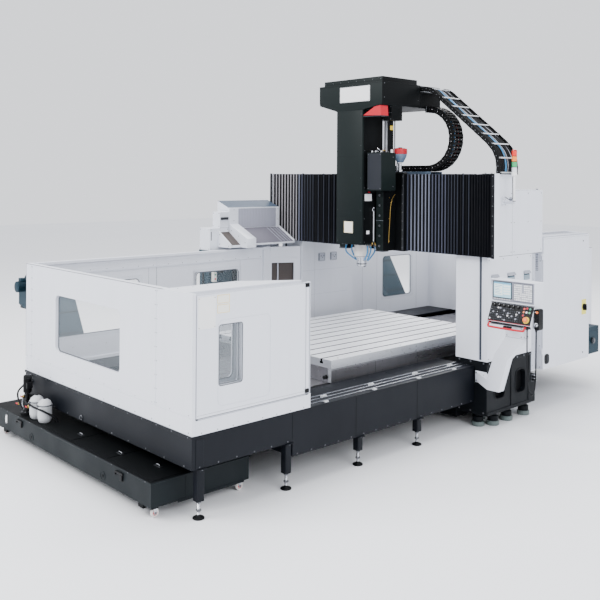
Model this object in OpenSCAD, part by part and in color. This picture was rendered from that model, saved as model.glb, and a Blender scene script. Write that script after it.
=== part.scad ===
// Gantry machining center: a bridge of two columns and a fixed cross beam,
// a long T-slot table that runs under it, a head that slides along the beam
// and up and down, chip trays with sheet-metal guards in front and behind.
// Millimetres. +X is the operator's side, the table runs along Y, +Z is up.
// The origin is on the floor, under the middle of the bed.

/* [Chip trays and guards] */
// Outside width over the chip trays and guards
tray_w = 3218; // [3210:2:3226]
// Height of the tray rim above the floor
rim_z = 720; // [716:1:724]
// Height of the top of the guards
guard_z = 1920; // [1900:5:1940]
// Underside of the front and rear trays
tray_z = 435; // [430:1:440]
// Underside of the long side trays
gutter_z = 300; // [296:1:304]
// Thickness of the guard walls
wall_t = 36; // [30:1:40]

/* [Table] */
// Width of the table
table_w = 2100; // [2090:2:2110]
// Length of the table
table_l = 2890; // [2870:5:2900]
// Height of the working surface
table_z = 945; // [940:1:950]
// Width of a T-slot's throat
slot_w = 28; // [24:1:30]
// Distance between T-slots
slot_pitch = 200; // [190:5:205]

/* [Bridge] */
// Inside width between the columns
portal_w = 2690; // [2680:2:2700]
// Width of one column
column_w = 440; // [434:1:444]
// Height of the columns
column_z = 2950; // [2945:1:2955]
// Lower edge of the bellows on the cross beam
beam_lo = 1995; // [1990:1:2000]
// Folds in one bellows
folds = 28; // [20:1:32]

/* [Head] */
// Place of the head along the cross beam
head_x = 145; // [140:1:150]
// Width of the ram
ram_w = 440; // [430:2:444]
// Lower end of the ram
ram_z = 2075; // [2070:1:2080]

/* [Hidden] */
$fn = 48;

hw = tray_w / 2;
pin = portal_w / 2;
pout = pin + column_w;
table_y0 = -1400;
table_y1 = table_y0 + table_l;
col_y0 = 400;
col_y1 = 1340;
rear_y0 = 1602;
rear_x = 1384;
ram_x0 = head_x - ram_w / 2;
ram_x1 = head_x + ram_w / 2;
sad_x0 = head_x - 515;
sad_x1 = head_x + 515;

c_white = [0.86, 0.87, 0.89];
c_black = [0.13, 0.15, 0.17];
c_head = [0.17, 0.20, 0.20];
c_steel = [0.72, 0.73, 0.75];
c_chrome = [0.85, 0.86, 0.88];
c_slate = [0.30, 0.40, 0.45];
c_tank = [0.17, 0.20, 0.21];
c_red = [0.75, 0.10, 0.12];
c_grey = [0.45, 0.47, 0.50];

// A box from its limits along X, Y and Z
module bx(x0, x1, y0, y1, z0, z1) {
  translate([x0, y0, z0]) cube([x1 - x0, y1 - y0, z1 - z0]);
}

// A rectangle with round corners
module rr(a0, a1, b0, b1, r) {
  translate([a0 + r, b0]) square([a1 - a0 - 2 * r, b1 - b0]);
  translate([a0, b0 + r]) square([a1 - a0, b1 - b0 - 2 * r]);
  for (a = [a0 + r, a1 - r], b = [b0 + r, b1 - r]) translate([a, b]) circle(r = r);
}

// A rounded opening that goes through along X
module hole_x(x0, x1, y0, y1, z0, z1, r) {
  translate([x0, 0, 0]) rotate([90, 0, 90]) linear_extrude(x1 - x0) rr(y0, y1, z0, z1, r);
}

// A rounded opening that goes through along Y
module hole_y(x0, x1, y0, y1, z0, z1, r) {
  translate([0, y1, 0]) rotate([90, 0, 0]) linear_extrude(y1 - y0) rr(x0, x1, z0, z1, r);
}

// An outline in X and Z, drawn out along Y
module prism_y(y0, y1, pts) {
  translate([0, y1, 0]) rotate([90, 0, 0]) linear_extrude(y1 - y0) polygon(pts);
}

// An outline in Y and Z, drawn out along X
module prism_x(x0, x1, pts) {
  translate([x0, 0, 0]) rotate([90, 0, 90]) linear_extrude(x1 - x0) polygon(pts);
}

module cyl(x, y, z0, z1, r) { translate([x, y, z0]) cylinder(r = r, h = z1 - z0); }

// ---- bed and trays

module bed() color(c_black) {
  bx(-700, 700, -2900, 2900, 60, 600);
  for (s = [-1, 1]) bx(s * 560 - 60, s * 560 + 60, -2900, 2900, 599, 640);
  bx(-pin, pin, col_y0 + 20, col_y1 - 20, 60, 280);
  for (x = [-550, 550], y = [-2700 : 900 : 2700]) cyl(x, y, 0, 61, 90);
  for (y = [-1800, 0, 1800]) cyl(0, y, 0, 61, 90);
}

module front_tray() color(c_black) {
  difference() {
    bx(-hw, hw, -3600, -2460, tray_z, rim_z);
    bx(-hw + 20, hw - 20, -3580, -2480, tray_z + 20, rim_z + 10);
    bx(-716, 716, -2916, -2400, tray_z - 10, rim_z + 10);
    bx(-1100, 1100, -2490, -2400, 585, rim_z + 10);
  }
  difference() {
    for (s = [-1, 1]) bx(s > 0 ? 1100 : -hw, s > 0 ? hw : -1100, -2900, -2460, rim_z - 20, rim_z);
    bx(-716, 716, -2916, -2400, tray_z - 10, rim_z + 10);
  }
  // folded lip under the rim
  bx(-hw - 8, hw + 8, -3608, -3599, rim_z - 24, rim_z);
}

// One of the two long gutters beside the bed, on the +X side
module gutter() {
  bx(720, hw, -2460, col_y0 - 2, gutter_z, gutter_z + 20);
  bx(hw - 20, hw, -2460, col_y0 - 2, gutter_z, rim_z);
  bx(720, 740, -2460, col_y0 - 2, gutter_z, 590);
  bx(720, hw, -2460, -2440, gutter_z, tray_z + 15);
  bx(1100, hw, -2458, col_y0 - 2, rim_z - 20, rim_z);
  bx(1100, 1120, -2458, col_y0 - 2, rim_z - 90, rim_z);
  bx(720, pin - 5, col_y0 - 2, rear_y0 - 2, gutter_z, gutter_z + 20);
  bx(720, 740, col_y0 - 2, rear_y0 - 2, gutter_z, 590);
  bx(pin - 25, pin - 5, col_y0 - 2, rear_y0 - 2, gutter_z, rim_z);
}

module left_tray() color(c_black) mirror([1, 0, 0]) gutter();

module right_tray() color(c_black) {
  gutter();
  // bottom rails of the sliding doors
  for (x = [1385, 1465, 1545]) bx(x, x + 14, -2232, col_y0 - 4, rim_z - 1, rim_z + 14);
}

module rear_tray() color(c_black) {
  difference() {
    bx(-hw, rear_x, rear_y0, 3600, tray_z + 5, rim_z);
    bx(-hw + 20, rear_x - 20, rear_y0 + 20, 3580, tray_z + 25, rim_z + 10);
    bx(-716, 716, rear_y0 - 50, 2916, tray_z - 10, rim_z + 10);
    bx(-1100, 1100, rear_y0 - 50, rear_y0 + 33, 585, rim_z + 10);
  }
  for (s = [-1, 1]) bx(s > 0 ? 1100 : -hw, s > 0 ? rear_x : -1100, rear_y0, 3590, rim_z - 20, rim_z);
}

// A square leg with a levelling foot
module leg(x, y, z) {
  bx(x - 36, x + 36, y - 36, y + 36, 150, z);
  cyl(x, y, 20, 151, 13);
  cyl(x, y, 60, 82, 24);
  cyl(x, y, 0, 24, 52);
}

module tray_legs() color(c_black) {
  leg(hw - 44, -3495, tray_z);
  leg(hw - 44, -2500, tray_z);
  leg(-hw + 44, -2640, tray_z);
  for (s = [-1, 1], y = [-1526, -590]) leg(s * (hw - 44), y, gutter_z);
  for (p = [[-hw + 44, 1760], [-hw + 44, 3450], [rear_x - 44, 1760], [420, 3450]]) leg(p[0], p[1], tray_z + 5);
}

// ---- bridge

module column() {
  bx(pin, pout, col_y0, col_y1, 785, 1992);
  // tower in front and the housing behind it, at the height of the beam
  bx(pin, pout, col_y0, 912, 1991, column_z);
  bx(pin, pout, 911, 1580, 1991, 2765);
  // cable duct down the back
  bx(pin, pout - 18, col_y1 - 1, 1450, 530, 1992);
}

module right_column() color(c_white) {
  column();
  // seat of the cable chain
  bx(1600, 1866, 530, 866, column_z - 1, column_z + 3);
}

module left_column() color(c_white) mirror([1, 0, 0]) column();

module column_bases() color(c_slate) for (s = [0, 1]) mirror([s, 0, 0]) {
  difference() {
    union() {
      bx(pin, pout, col_y0, col_y1 - 2, 160, 785);
      bx(pin, pout, col_y1 - 3, 1430, 160, 500);
    }
    // hand holes on the outer side
    for (y = [560, 1000]) hole_x(pout - 60, pout + 60, y, y + 200, 330, 600, 60);
  }
  for (p = [[1590, 510], [1686, 670], [1680, 960], [1690, 1316], [1430, 760], [1430, 1300]]) {
    cyl(p[0], p[1], 0, 50, 75);
    cyl(p[0], p[1], 49, 161, 34);
  }
}

module crossbeam() color(c_head) {
  bx(-pin, pin, col_y0, 1050, 2010, 2940);
  for (z = [2150, 2760]) bx(-1905, 1905, 350, col_y0, z, z + 80);
}

// A folded sheet between two ends, drawn up along Z
function zig(x0, x1, n, y0, y1) = [for (i = [0 : 2 * n]) [x0 + (x1 - x0) * i / (2 * n), i % 2 == 0 ? y1 : y0]];
module bellows(x0, x1) {
  f = zig(x0, x1, folds, 296, 334);
  b = zig(x0, x1, folds, 303, 341);
  translate([0, 0, beam_lo + 6]) linear_extrude(955) polygon(concat(f, [for (i = [2 * folds : -1 : 0]) b[i]]));
}

module right_bellows() color(c_black) {
  bellows(sad_x1 + 1, 1905);
  bx(1905, 1943, 296, col_y0 - 1, beam_lo, 2962);
}

module left_bellows() color(c_black) {
  bellows(-1905, sad_x0 - 1);
  bx(-1943, -1905, 296, col_y0 - 1, beam_lo, 2962);
}

// ---- guards

module front_wall() color(c_white) difference() {
  bx(-hw, hw, -3600, -3600 + wall_t, rim_z, guard_z);
  hole_y(-890, 430, -3610, -3550, 1040, 1640, 60);
  // sheet joints
  bx(-1466, -1460, -3604, -3597, 875, guard_z + 1);
  bx(1050, 1056, -3604, -3597, 875, guard_z + 1);
  bx(-hw - 1, hw + 1, -3604, -3597, 869, 875);
}

// The tool gate's frame turns in from the long wall to the column
module gate_frame() translate([-hw + wall_t, -40, 0]) rotate([0, 0, -27.3]) difference() {
  bx(-30, 0, 6, 462, rim_z, guard_z);
  hole_x(-60, 30, 42, 364, 1410, 1690, 12);
}

module left_wall() color(c_white) {
  difference() {
    union() {
      bx(-hw, -hw + wall_t, -3600 + wall_t, -60, rim_z, guard_z);
      bx(-hw - 2, -hw + 64, -160, -41, rim_z, guard_z + 8);
      bx(-hw, -hw + 70, -3500, -150, guard_z - 30, guard_z);
    }
    hole_x(-hw - 10, -hw + 90, -3300, -2150, 1040, 1640, 60);
    hole_x(-hw - 10, -hw + 90, -1300, -580, 1040, 1650, 60);
    bx(-hw + wall_t - 4, -hw + wall_t + 4, -1908, -1902, rim_z - 1, guard_z - 31);
    bx(-hw + wall_t - 4, -hw + wall_t + 4, -3500, -165, 1767, 1773);
  }
  gate_frame();
  bx(-1384, -1350, 388, col_y0 - 2, rim_z, guard_z);
}

module operator_wall() color(c_white) {
  difference() {
    union() {
      // inner skin
      bx(1160, 1190, -3600 + wall_t, -2770, rim_z, guard_z);
      // top cover and slanted end of the door box
      translate([0, 0, guard_z - 30]) linear_extrude(30)
        polygon([[1160, -3600 + wall_t], [1504, -3600 + wall_t], [1504, -2262], [1480, -2262], [1160, -2770]]);
      translate([0, 0, rim_z]) linear_extrude(guard_z - rim_z)
        polygon([[1160, -2770], [1480, -2262], [1504, -2262], [1504, -2280], [1186, -2786], [1160, -2786]]);
    }
    hole_x(1150, 1200, -3300, -2840, 1030, 1640, 60);
  }
  // sill under the doors
  bx(1504, hw, -3600 + wall_t, -2258, rim_z, 848);
  // end post of the sill
  bx(1500, hw + 2, -2262, -2236, rim_z, 856);
  translate([0, 0, rim_z]) linear_extrude(20) polygon([[1188, -3600 + wall_t], [1505, -3600 + wall_t], [1505, -2290], [1490, -2290], [1188, -2775]]);
}

module rear_wall() color(c_white) difference() {
  bx(-hw, rear_x, 3600 - wall_t, 3600, rim_z, guard_z);
  hole_y(-890, 430, 3550, 3610, 1040, 1640, 60);
}

module rear_side_walls() color(c_white) for (p = [[-hw, 2380, 3090], [rear_x - wall_t, 2900, 3380]]) difference() {
  bx(p[0], p[0] + wall_t, rear_y0 + 2, 3600 - wall_t, rim_z, guard_z);
  hole_x(p[0] - 30, p[0] + wall_t + 30, p[1], p[2], 980, 1640, 60);
}

module window_panes() color([0.8, 0.9, 0.95, 0.3]) {
  bx(-930, 470, -3600 + wall_t, -3600 + wall_t + 6, 1000, 1680);
  bx(-930, 470, 3600 - wall_t - 6, 3600 - wall_t, 1000, 1680);
  bx(-hw + wall_t, -hw + wall_t + 6, -3340, -2110, 1000, 1680);
  bx(-hw + wall_t, -hw + wall_t + 6, -1340, -540, 1000, 1690);
  bx(-hw + wall_t, -hw + wall_t + 6, 2340, 3130, 940, 1680);
  bx(rear_x - wall_t - 6, rear_x - wall_t, 2860, 3420, 940, 1680);
}

// One leaf of the operator's doors, between x0 and x1
module leaf(x0, x1) {
  difference() {
    bx(x0, x1, -3555, -2300, 862, guard_z - 20);
    hole_x(x0 - 10, x1 + 10, -3325, -3060, 1100, 1630, 26);
    // shallow panel round the window
    difference() {
      hole_x(x1 - 3, x1 + 3, -3335, -2740, 925, 1673, 60);
      hole_x(x1 - 4, x1 + 4, -3329, -2746, 931, 1667, 54);
    }
  }
  // roller feet
  for (y = [-3400, -2500]) bx(x0 - 6, x0, y - 60, y + 60, 866, 980);
}

module outer_door() color(c_white) {
  leaf(1573, hw);
  // closing post with its grip bar
  bx(1566, hw, -2300, -2268, 862, guard_z - 10);
  bx(1580, hw + 6, -2268, -2246, 866, guard_z - 4);
}

module inner_door() color(c_white) {
  leaf(1518, 1552);
}

// ---- tool magazine

module tool_magazine() color(c_white) {
  prism_y(-645, 273, [[-1985, 1906], [-1985, 2570], [-1968, 2570], [-1720, 2478], [-1720, 1906]]);
  // drum behind it
  bx(-2420, -1984, -270, 273, 1906, 2500);
  // smaller boxes on the near end
  bx(-1887, -1720, -800, -644, 2204, 2424);
  bx(-1954, -1720, -968, -644, 1906, 2206);
}

module magazine_chute() color(c_white) {
  // floor, rim and the beam beside it
  prism_y(-487, 256, [[-1719, 2192], [-1378, 2001], [-1378, 1976], [-1719, 2166]]);
  prism_y(255, 273, [[-1719, 2214], [-1378, 2023], [-1378, 1976], [-1719, 2166]]);
  prism_y(-645, -486, [[-1719, 2258], [-1318, 2076], [-1318, 1950], [-1440, 1950], [-1719, 2120]]);
  // pocket on the near side: dark floor and its side plate
  prism_y(-813, -644, [[-1719, 2150], [-1458, 1984], [-1458, 1950], [-1490, 1950], [-1719, 2100]]);
  prism_y(-832, -812, [[-1719, 2172], [-1712, 2168], [-1440, 1996], [-1440, 1950], [-1719, 1950]]);
}

module magazine_stand() color(c_slate) {
  bx(-1954, -1740, -968, 250, 40, 1870);
  bx(-2400, -1953, -260, 250, 40, 1870);
  bx(-1962, -1700, -976, 275, 1868, 1906);
  bx(-2424, -1961, -275, 275, 1868, 1906);
  for (p = [[-1900, -920], [-1790, -920], [-2350, 200], [-1790, 200], [-2350, -210]]) cyl(p[0], p[1], 0, 41, 42);
}

// ---- chip conveyors

module conveyor(y0, y1) {
  prism_y(y0, y1, [[-1616, 450], [-1830, 450], [-2392, 1286], [-2430, 1270], [-2600, 1310],
    [-2600, 1530], [-2360, 1725], [-2180, 1725], [-1640, 800], [-1616, 740]]);
  // supporting legs
  for (y = [y0 + 20, y1 - 80]) {
    bx(-2290, -2230, y, y + 60, 8, 1090);
    bx(-2330, -2190, y - 10, y + 70, 0, 10);
  }
  // drive motor
  translate([-2330, y0 - 150, 1560]) rotate([-90, 0, 0]) cylinder(r = 75, h = 152);
}

module front_conveyor() color(c_slate) conveyor(-3250, -2800);

module rear_conveyor() color(c_slate) {
  conveyor(2700, 3150);
  bx(rear_x, 1600, 3000, 3400, 465, 840);
}

// ---- cabinet and console

module electrical_cabinet() color(c_white) {
  difference() {
    bx(1464, 1759, 1612, 2764, 510, 2171);
    bx(1482, 1775, 1630, 2746, 528, 2153);
  }
  // knuckles of the door's hinges
  for (z = [742, 1342, 1932]) {
    cyl(1773, 1604, z, z + 40, 8);
    bx(1741, 1773, 1596, 1613, z, z + 40);
  }
  // mounting plate inside, and brackets to the guard
  bx(1481, 1492, 1700, 2660, 620, 2060);
  for (z = [620, 1500]) bx(rear_x + 2, 1465, 1700, 2660, z, z + 60);
}

module cabinet_door() color(c_white) {
  bx(1761, 1785, 1614, 2762, 512, 2169);
  for (z = [700, 1300, 1890]) {
    cyl(1773, 1604, z, z + 40, 8);
    bx(1766, 1780, 1604, 1616, z, z + 40);
  }
}

module disconnect_switch() color(c_black) {
  translate([1787, 2626, 1200]) rotate([0, 90, 0]) cylinder(r = 44, h = 14);
  translate([1800, 2626, 1200]) rotate([0, 90, 0]) cylinder(r = 24, h = 12);
  bx(1801, 1827, 2617, 2635, 1162, 1238);
}

module console_arm() color(c_white) {
  translate([0, 0, 548]) linear_extrude(107) polygon([[1640, 398], [1784, 398], [2110, 250], [2110, 150], [1960, 150]]);
  // slanted post in two parts, then the collar under the console
  hull() {
    bx(1960, 2110, 150, 250, 548, 690);
    bx(2105, 2270, 70, 170, 940, 980);
  }
  hull() {
    bx(2105, 2270, 70, 170, 940, 980);
    bx(2290, 2505, 0, 120, 1185, 1200);
  }
  bx(2290, 2505, 0, 120, 1195, 1336);
}

module console() color(c_white) {
  prism_x(2113, 2647, [[165, 1338], [-70, 1338], [-84, 1372], [0, 1566], [0, 1815], [165, 1815]]);
  // carrying handle under the panel
  for (x = [2150, 2560]) bx(x, x + 22, -110, -68, 1310, 1350);
  bx(2128, 2604, -128, -108, 1308, 1330);
  // gland of the pendant's cord
  cyl(2530, 40, 1308, 1340, 14);
}

module handwheel_pendant() color(c_black) {
  bx(2647, 2660, -28, 42, 1460, 1540);
  bx(2659, 2715, -38, 50, 1330, 1552);
  translate([2687, -37, 1392]) rotate([90, 0, 0]) cylinder(r = 27, h = 18);
  cyl(2674, -20, 1310, 1331, 12);
}

cord_pts = [[2674, -20, 1310], [2674, -20, 1200], [2673, -20, 1050], [2671, -19, 900], [2664, -16, 780], [2648, -9, 694],
  [2621, 2, 650], [2591, 14, 648], [2562, 26, 684], [2545, 34, 764], [2536, 38, 880], [2532, 40, 1000], [2530, 40, 1150], [2530, 40, 1308]];

function cr(p0, p1, p2, p3, t) = 0.5 * (2 * p1 + (p2 - p0) * t + (2 * p0 - 5 * p1 + 4 * p2 - p3) * t * t
  + (3 * p1 - p0 - 3 * p2 + p3) * t * t * t);
function smooth(p, m) = let (n = len(p)) concat([for (i = [0 : n - 2], k = [0 : m - 1])
  cr(p[max(i - 1, 0)], p[i], p[i + 1], p[min(i + 2, n - 1)], k / m)], [p[n - 1]]);
function unit(v) = v / norm(v);

// A tube of radius r along the points, with s sides
module tube(pts, r, s) {
  n = len(pts);
  dirs = [for (i = [0 : n - 1]) unit(pts[min(i + 1, n - 1)] - pts[max(i - 1, 0)])];
  rings = [for (i = [0 : n - 1]) let (a = unit(cross(dirs[i], [0, 1, 0.02])), b = cross(dirs[i], a))
    for (k = [0 : s - 1]) pts[i] + r * (cos(360 * k / s) * a + sin(360 * k / s) * b)];
  polyhedron(points = rings, faces = concat([[for (k = [0 : s - 1]) k]], [[for (k = [s - 1 : -1 : 0]) (n - 1) * s + k]],
    [for (i = [0 : n - 2], k = [0 : s - 1]) [i * s + k, (i + 1) * s + k, (i + 1) * s + (k + 1) % s, i * s + (k + 1) % s]]));
}

module pendant_cord() color(c_black) tube(smooth(cord_pts, 3), 7, 10);

// ---- coolant tank

module coolant_tank() color(c_tank) difference() {
  union() {
    bx(-1900, 1350, -3830, -2770, 100, 316);
    bx(-1908, 1358, -3838, -2762, 306, 320);
  }
  // room for the end of the bed
  bx(-715, 715, -2912, -2700, 90, 330);
}

module tank_pumps() color(c_grey) {
  for (x = [-1060, -870]) {
    cyl(x, -3722, 320, 540, 74);
    translate([x, -3722, 540]) scale([1, 1, 0.45]) sphere(r = 74);
  }
  cyl(-1290, -3722, 320, 345, 70);
  cyl(-1290, -3722, 344, 560, 22);
  cyl(-1290, -3722, 558, 744, 46);
}

caster_at = [[1290, -3757], [-1747, -3757], [1290, -2840], [-1747, -2840]];

module caster_forks() color(c_chrome) for (p = caster_at) {
  bx(p[0] - 34, p[0] + 34, p[1] - 30, p[1] + 30, 92, 100);
  for (s = [-1, 1]) bx(p[0] + s * 19 - 2.5, p[0] + s * 19 + 2.5, p[1] - 16, p[1] + 16, 24, 93);
  translate([p[0] - 24, p[1], 38]) rotate([0, 90, 0]) cylinder(r = 6, h = 48);
}

module caster_wheel(i) color(c_red) translate([caster_at[i][0] - 13, caster_at[i][1], 38]) rotate([0, 90, 0]) difference() {
  cylinder(r = 38, h = 26);
  translate([0, 0, -1]) cylinder(r = 6.3, h = 28);
}

module caster_wheel_1() caster_wheel(0);
module caster_wheel_2() caster_wheel(1);
module caster_wheel_3() caster_wheel(2);
module caster_wheel_4() caster_wheel(3);

module stack_light() color(c_grey) {
  bx(pout, 1945, 700, 730, 2600, 2660);
  cyl(1930, 715, 2604, 2936, 12);
  cyl(1930, 715, 2934, 2974, 33);
  cyl(1930, 715, 2973, 3247, 30);
}

// ---- cable chains

lad = [[672, 4030], [820, 4030], [1180, 3740], [1500, 3484], [1690, 3330], [1780, 3230], [1822, 3110], [1828, 2956]];
function off(p, d) = [for (i = [0 : len(p) - 1]) let (u = unit(p[min(i + 1, len(p) - 1)] - p[max(i - 1, 0)])) p[i] + d * [-u[1], u[0]]];

module ladder_chain() color(c_black) {
  prism_y(540, 920, concat(off(lad, 28), [for (i = [len(lad) - 1 : -1 : 0]) off(lad, -28)[i]]));
}

loop_c = [for (a = [90 : -10 : -90]) [690 + 375 * cos(a), 3405 + 375 * sin(a)]];
module loop_chain() color(c_black) {
  prism_y(660, 860, concat([[671, 3820]], [for (a = [90 : -10 : -90]) [690 + 415 * cos(a), 3405 + 415 * sin(a)]], [[-200, 2990]],
    [[-200, 3068]], [for (a = [-90 : 10 : 90]) [690 + 337 * cos(a), 3405 + 337 * sin(a)]], [[671, 3742]]));
  bx(-240, 760, 650, 870, 2941, 2989);
}

// ---- table and its covers

// Stepped plates, lowest at y0 and highest at y1
module way_cover(y0, y1, n) {
  d = (y1 - y0) / n;
  for (i = [0 : n - 1]) {
    z = 664 + i * 4;
    ya = min(y0 + d * i, y0 + d * (i + 1)) - 8;
    yb = max(y0 + d * i, y0 + d * (i + 1)) + 8;
    bx(-1000, 1000, max(ya, min(y0, y1)), min(yb, max(y0, y1)), z, z + 8);
    for (s = [-1, 1]) bx(s > 0 ? 992 : -1000, s > 0 ? 1000 : -992, max(ya, min(y0, y1)), min(yb, max(y0, y1)), 604, z + 8);
  }
}

module front_way_cover() color(c_steel) way_cover(-3540, table_y0 - 6, 9);
module rear_way_cover() color(c_steel) way_cover(3540, table_y1 + 6, 9);

module table() color(c_steel) difference() {
  union() {
    bx(-table_w / 2, table_w / 2, table_y0, table_y1, 705, table_z);
    for (s = [-1, 1]) bx(s * 560 - 90, s * 560 + 90, table_y0 + 20, table_y1 - 20, 645, 706);
  }
  for (x = [-4.5 * slot_pitch : slot_pitch : 4.5 * slot_pitch]) {
    bx(x - slot_w / 2, x + slot_w / 2, table_y0 - 5, table_y1 + 5, table_z - 30, table_z + 5);
    bx(x - 25, x + 25, table_y0 - 5, table_y1 + 5, table_z - 52, table_z - 29);
  }
  // bolt holes in the end faces
  for (s = [-1, 1], e = [table_y0, table_y1]) translate([s * 980, e, 760]) rotate([90, 0, 0]) cylinder(r = 9, h = 60, center = true);
}

// ---- saddle and head

module saddle() color(c_head) {
  bx(sad_x0, sad_x1, 240, 338, beam_lo, 2960);
  bx(sad_x0 + 90, sad_x1 - 90, 337, 392, 2260, 2730);
  for (s = [-1, 1]) difference() {
    bx(head_x + s * 315 - 60, head_x + s * 315 + 60, 20, 241, beam_lo + 5, 2742);
    cyl(head_x + s * 315, 80, 2380, 2800, 19);
  }
}

module balance_cylinders() color(c_head) for (s = [-1, 1]) difference() {
  union() {
    bx(head_x + s * 315 - 58, head_x + s * 315 + 58, 22, 138, 2742, 3225);
    // casing in front of the right cylinder
    if (s > 0) bx(head_x + 257, head_x + 495, -150, 110, 2750, 3215);
    cyl(head_x + s * 315, 80, 3224, 3240, 30);
  }
  cyl(head_x + s * 315, 80, 2700, 3260, 17);
}

module cable_arm() color(c_head) {
  bx(-300, 100, 240, 338, 2960, 3000);
  bx(-300, 100, 337, 640, 2966, 3000);
  bx(-300, 100, 560, 640, 2999, 3792);
  bx(-300, 670, 545, 950, 3790, 4060);
}

module ram() color(c_head) {
  bx(ram_x0, ram_x1, -200, 235, ram_z, 3740);
  // hardened guide strips
  for (s = [-1, 1]) bx(head_x + s * (ram_w / 2 + 13) - 14, head_x + s * (ram_w / 2 + 13) + 14, 200, 232, ram_z + 20, 3740);
  // spindle housing
  translate([head_x, 40, 1905]) difference() {
    cylinder(r = 94, h = 171);
    translate([0, 0, -1]) cylinder(r = 66, h = 61);
  }
}

module hood() color(c_head) {
  prism_y(-200, 520, [[head_x - 540, 4075], [head_x - 540, 3862], [head_x - 530, 3825], [head_x - 258, 3750], [head_x - 235, 3740],
    [head_x + 235, 3740], [head_x + 258, 3750], [head_x + 530, 3790], [head_x + 540, 3825], [head_x + 540, 4075]]);
  bx(head_x - 500, head_x + 500, -150, 505, 4074, 4140);
  // junction box under the right wing
  bx(520, 672, -10, 190, 3610, 3792);
  // rods of the balance cylinders
  for (s = [-1, 1]) cyl(head_x + s * 315, 80, 2790, 3800, 14);
}

module elbow_tube(x, y, a) {
  translate([x, y, ram_z]) rotate([0, 0, a]) {
    translate([0, 0, -22]) cylinder(r = 17, h = 22);
    translate([0, 0, -110]) cylinder(r = 10, h = 95);
    translate([0, 0, -108]) rotate([0, 28, 0]) translate([0, 0, -90]) cylinder(r = 9, h = 96);
    translate([0, 0, -108]) rotate([0, 28, 0]) translate([0, 0, -120]) cylinder(r1 = 4, r2 = 8, h = 34);
  }
}

module coolant_nozzles() color([0.1, 0.35, 0.75]) {
  elbow_tube(head_x + 165, 20, 0);
  elbow_tube(head_x + 150, 110, 25);
  elbow_tube(head_x - 160, 30, 180);
}

module spindle_nose() color(c_chrome) translate([head_x, 40, 1790]) difference() {
  union() {
    cylinder(r = 64, h = 116);
    translate([0, 0, 115]) cylinder(r = 60, h = 46);
  }
  // tool taper, then the drawbar bore
  rotate_extrude() polygon([[0, -1], [35.2, -1], [34.9, 0], [20.2, 101], [14, 101], [14, 140], [0, 140]]);
  // driving-key slots
  for (s = [-1, 1]) translate([s * 50, 0, 5]) cube([26, 25.4, 12], center = true);
}

bed();
front_tray();
left_tray();
right_tray();
rear_tray();
tray_legs();
left_column();
right_column();
column_bases();
crossbeam();
left_bellows();
right_bellows();
front_wall();
left_wall();
operator_wall();
rear_wall();
rear_side_walls();
window_panes();
tool_magazine();
magazine_chute();
magazine_stand();
front_conveyor();
rear_conveyor();
electrical_cabinet();
cabinet_door();
disconnect_switch();
console_arm();
console();
handwheel_pendant();
pendant_cord();
coolant_tank();
tank_pumps();
caster_forks();
caster_wheel_1();
caster_wheel_2();
caster_wheel_3();
caster_wheel_4();
stack_light();
ladder_chain();
loop_chain();
front_way_cover();
rear_way_cover();
table();
saddle();
balance_cylinders();
cable_arm();
ram();
hood();
coolant_nozzles();
spindle_nose();
outer_door();
inner_door();
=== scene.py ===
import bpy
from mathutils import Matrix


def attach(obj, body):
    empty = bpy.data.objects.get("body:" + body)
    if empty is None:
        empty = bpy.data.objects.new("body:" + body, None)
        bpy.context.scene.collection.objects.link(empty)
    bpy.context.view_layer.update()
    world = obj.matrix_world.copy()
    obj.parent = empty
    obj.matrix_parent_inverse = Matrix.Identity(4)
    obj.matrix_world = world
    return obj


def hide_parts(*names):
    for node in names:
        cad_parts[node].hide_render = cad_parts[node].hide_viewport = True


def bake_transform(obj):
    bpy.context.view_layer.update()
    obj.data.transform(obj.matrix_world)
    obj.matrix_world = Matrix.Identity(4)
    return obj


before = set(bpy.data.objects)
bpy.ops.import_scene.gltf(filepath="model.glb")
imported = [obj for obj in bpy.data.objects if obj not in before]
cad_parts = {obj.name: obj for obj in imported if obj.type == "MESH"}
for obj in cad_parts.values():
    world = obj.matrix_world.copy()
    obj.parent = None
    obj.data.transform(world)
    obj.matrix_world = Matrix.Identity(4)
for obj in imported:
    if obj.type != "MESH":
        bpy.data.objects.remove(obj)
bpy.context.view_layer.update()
import math
import bpy, bmesh
from mathutils import Matrix, Vector

# A gantry machining center. Lengths in the helpers are millimetres in the row frame.


scene = bpy.context.scene

# ---------------------------------------------------------------- camera

cam_data = bpy.data.cameras.new("camera")
cam = bpy.data.objects.new("camera", cam_data)
scene.collection.objects.link(cam)
cam.location = (7.258, -7.6, 2.9)
cam.rotation_euler = (math.pi / 2, -0.0064, math.radians(47.298))
cam_data.sensor_width = 36
cam_data.lens = 49.19
cam_data.shift_y = -0.2037
cam_data.clip_end = 200
scene.camera = cam

# ---------------------------------------------------------------- materials


def lin(c, k=1.0):
    out = []
    for v in c:
        v = v / 255
        out.append((v / 12.92 if v <= 0.04045 else ((v + 0.055) / 1.055) ** 2.4) * k)
    return (*out, 1)


mats = {}


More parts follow.
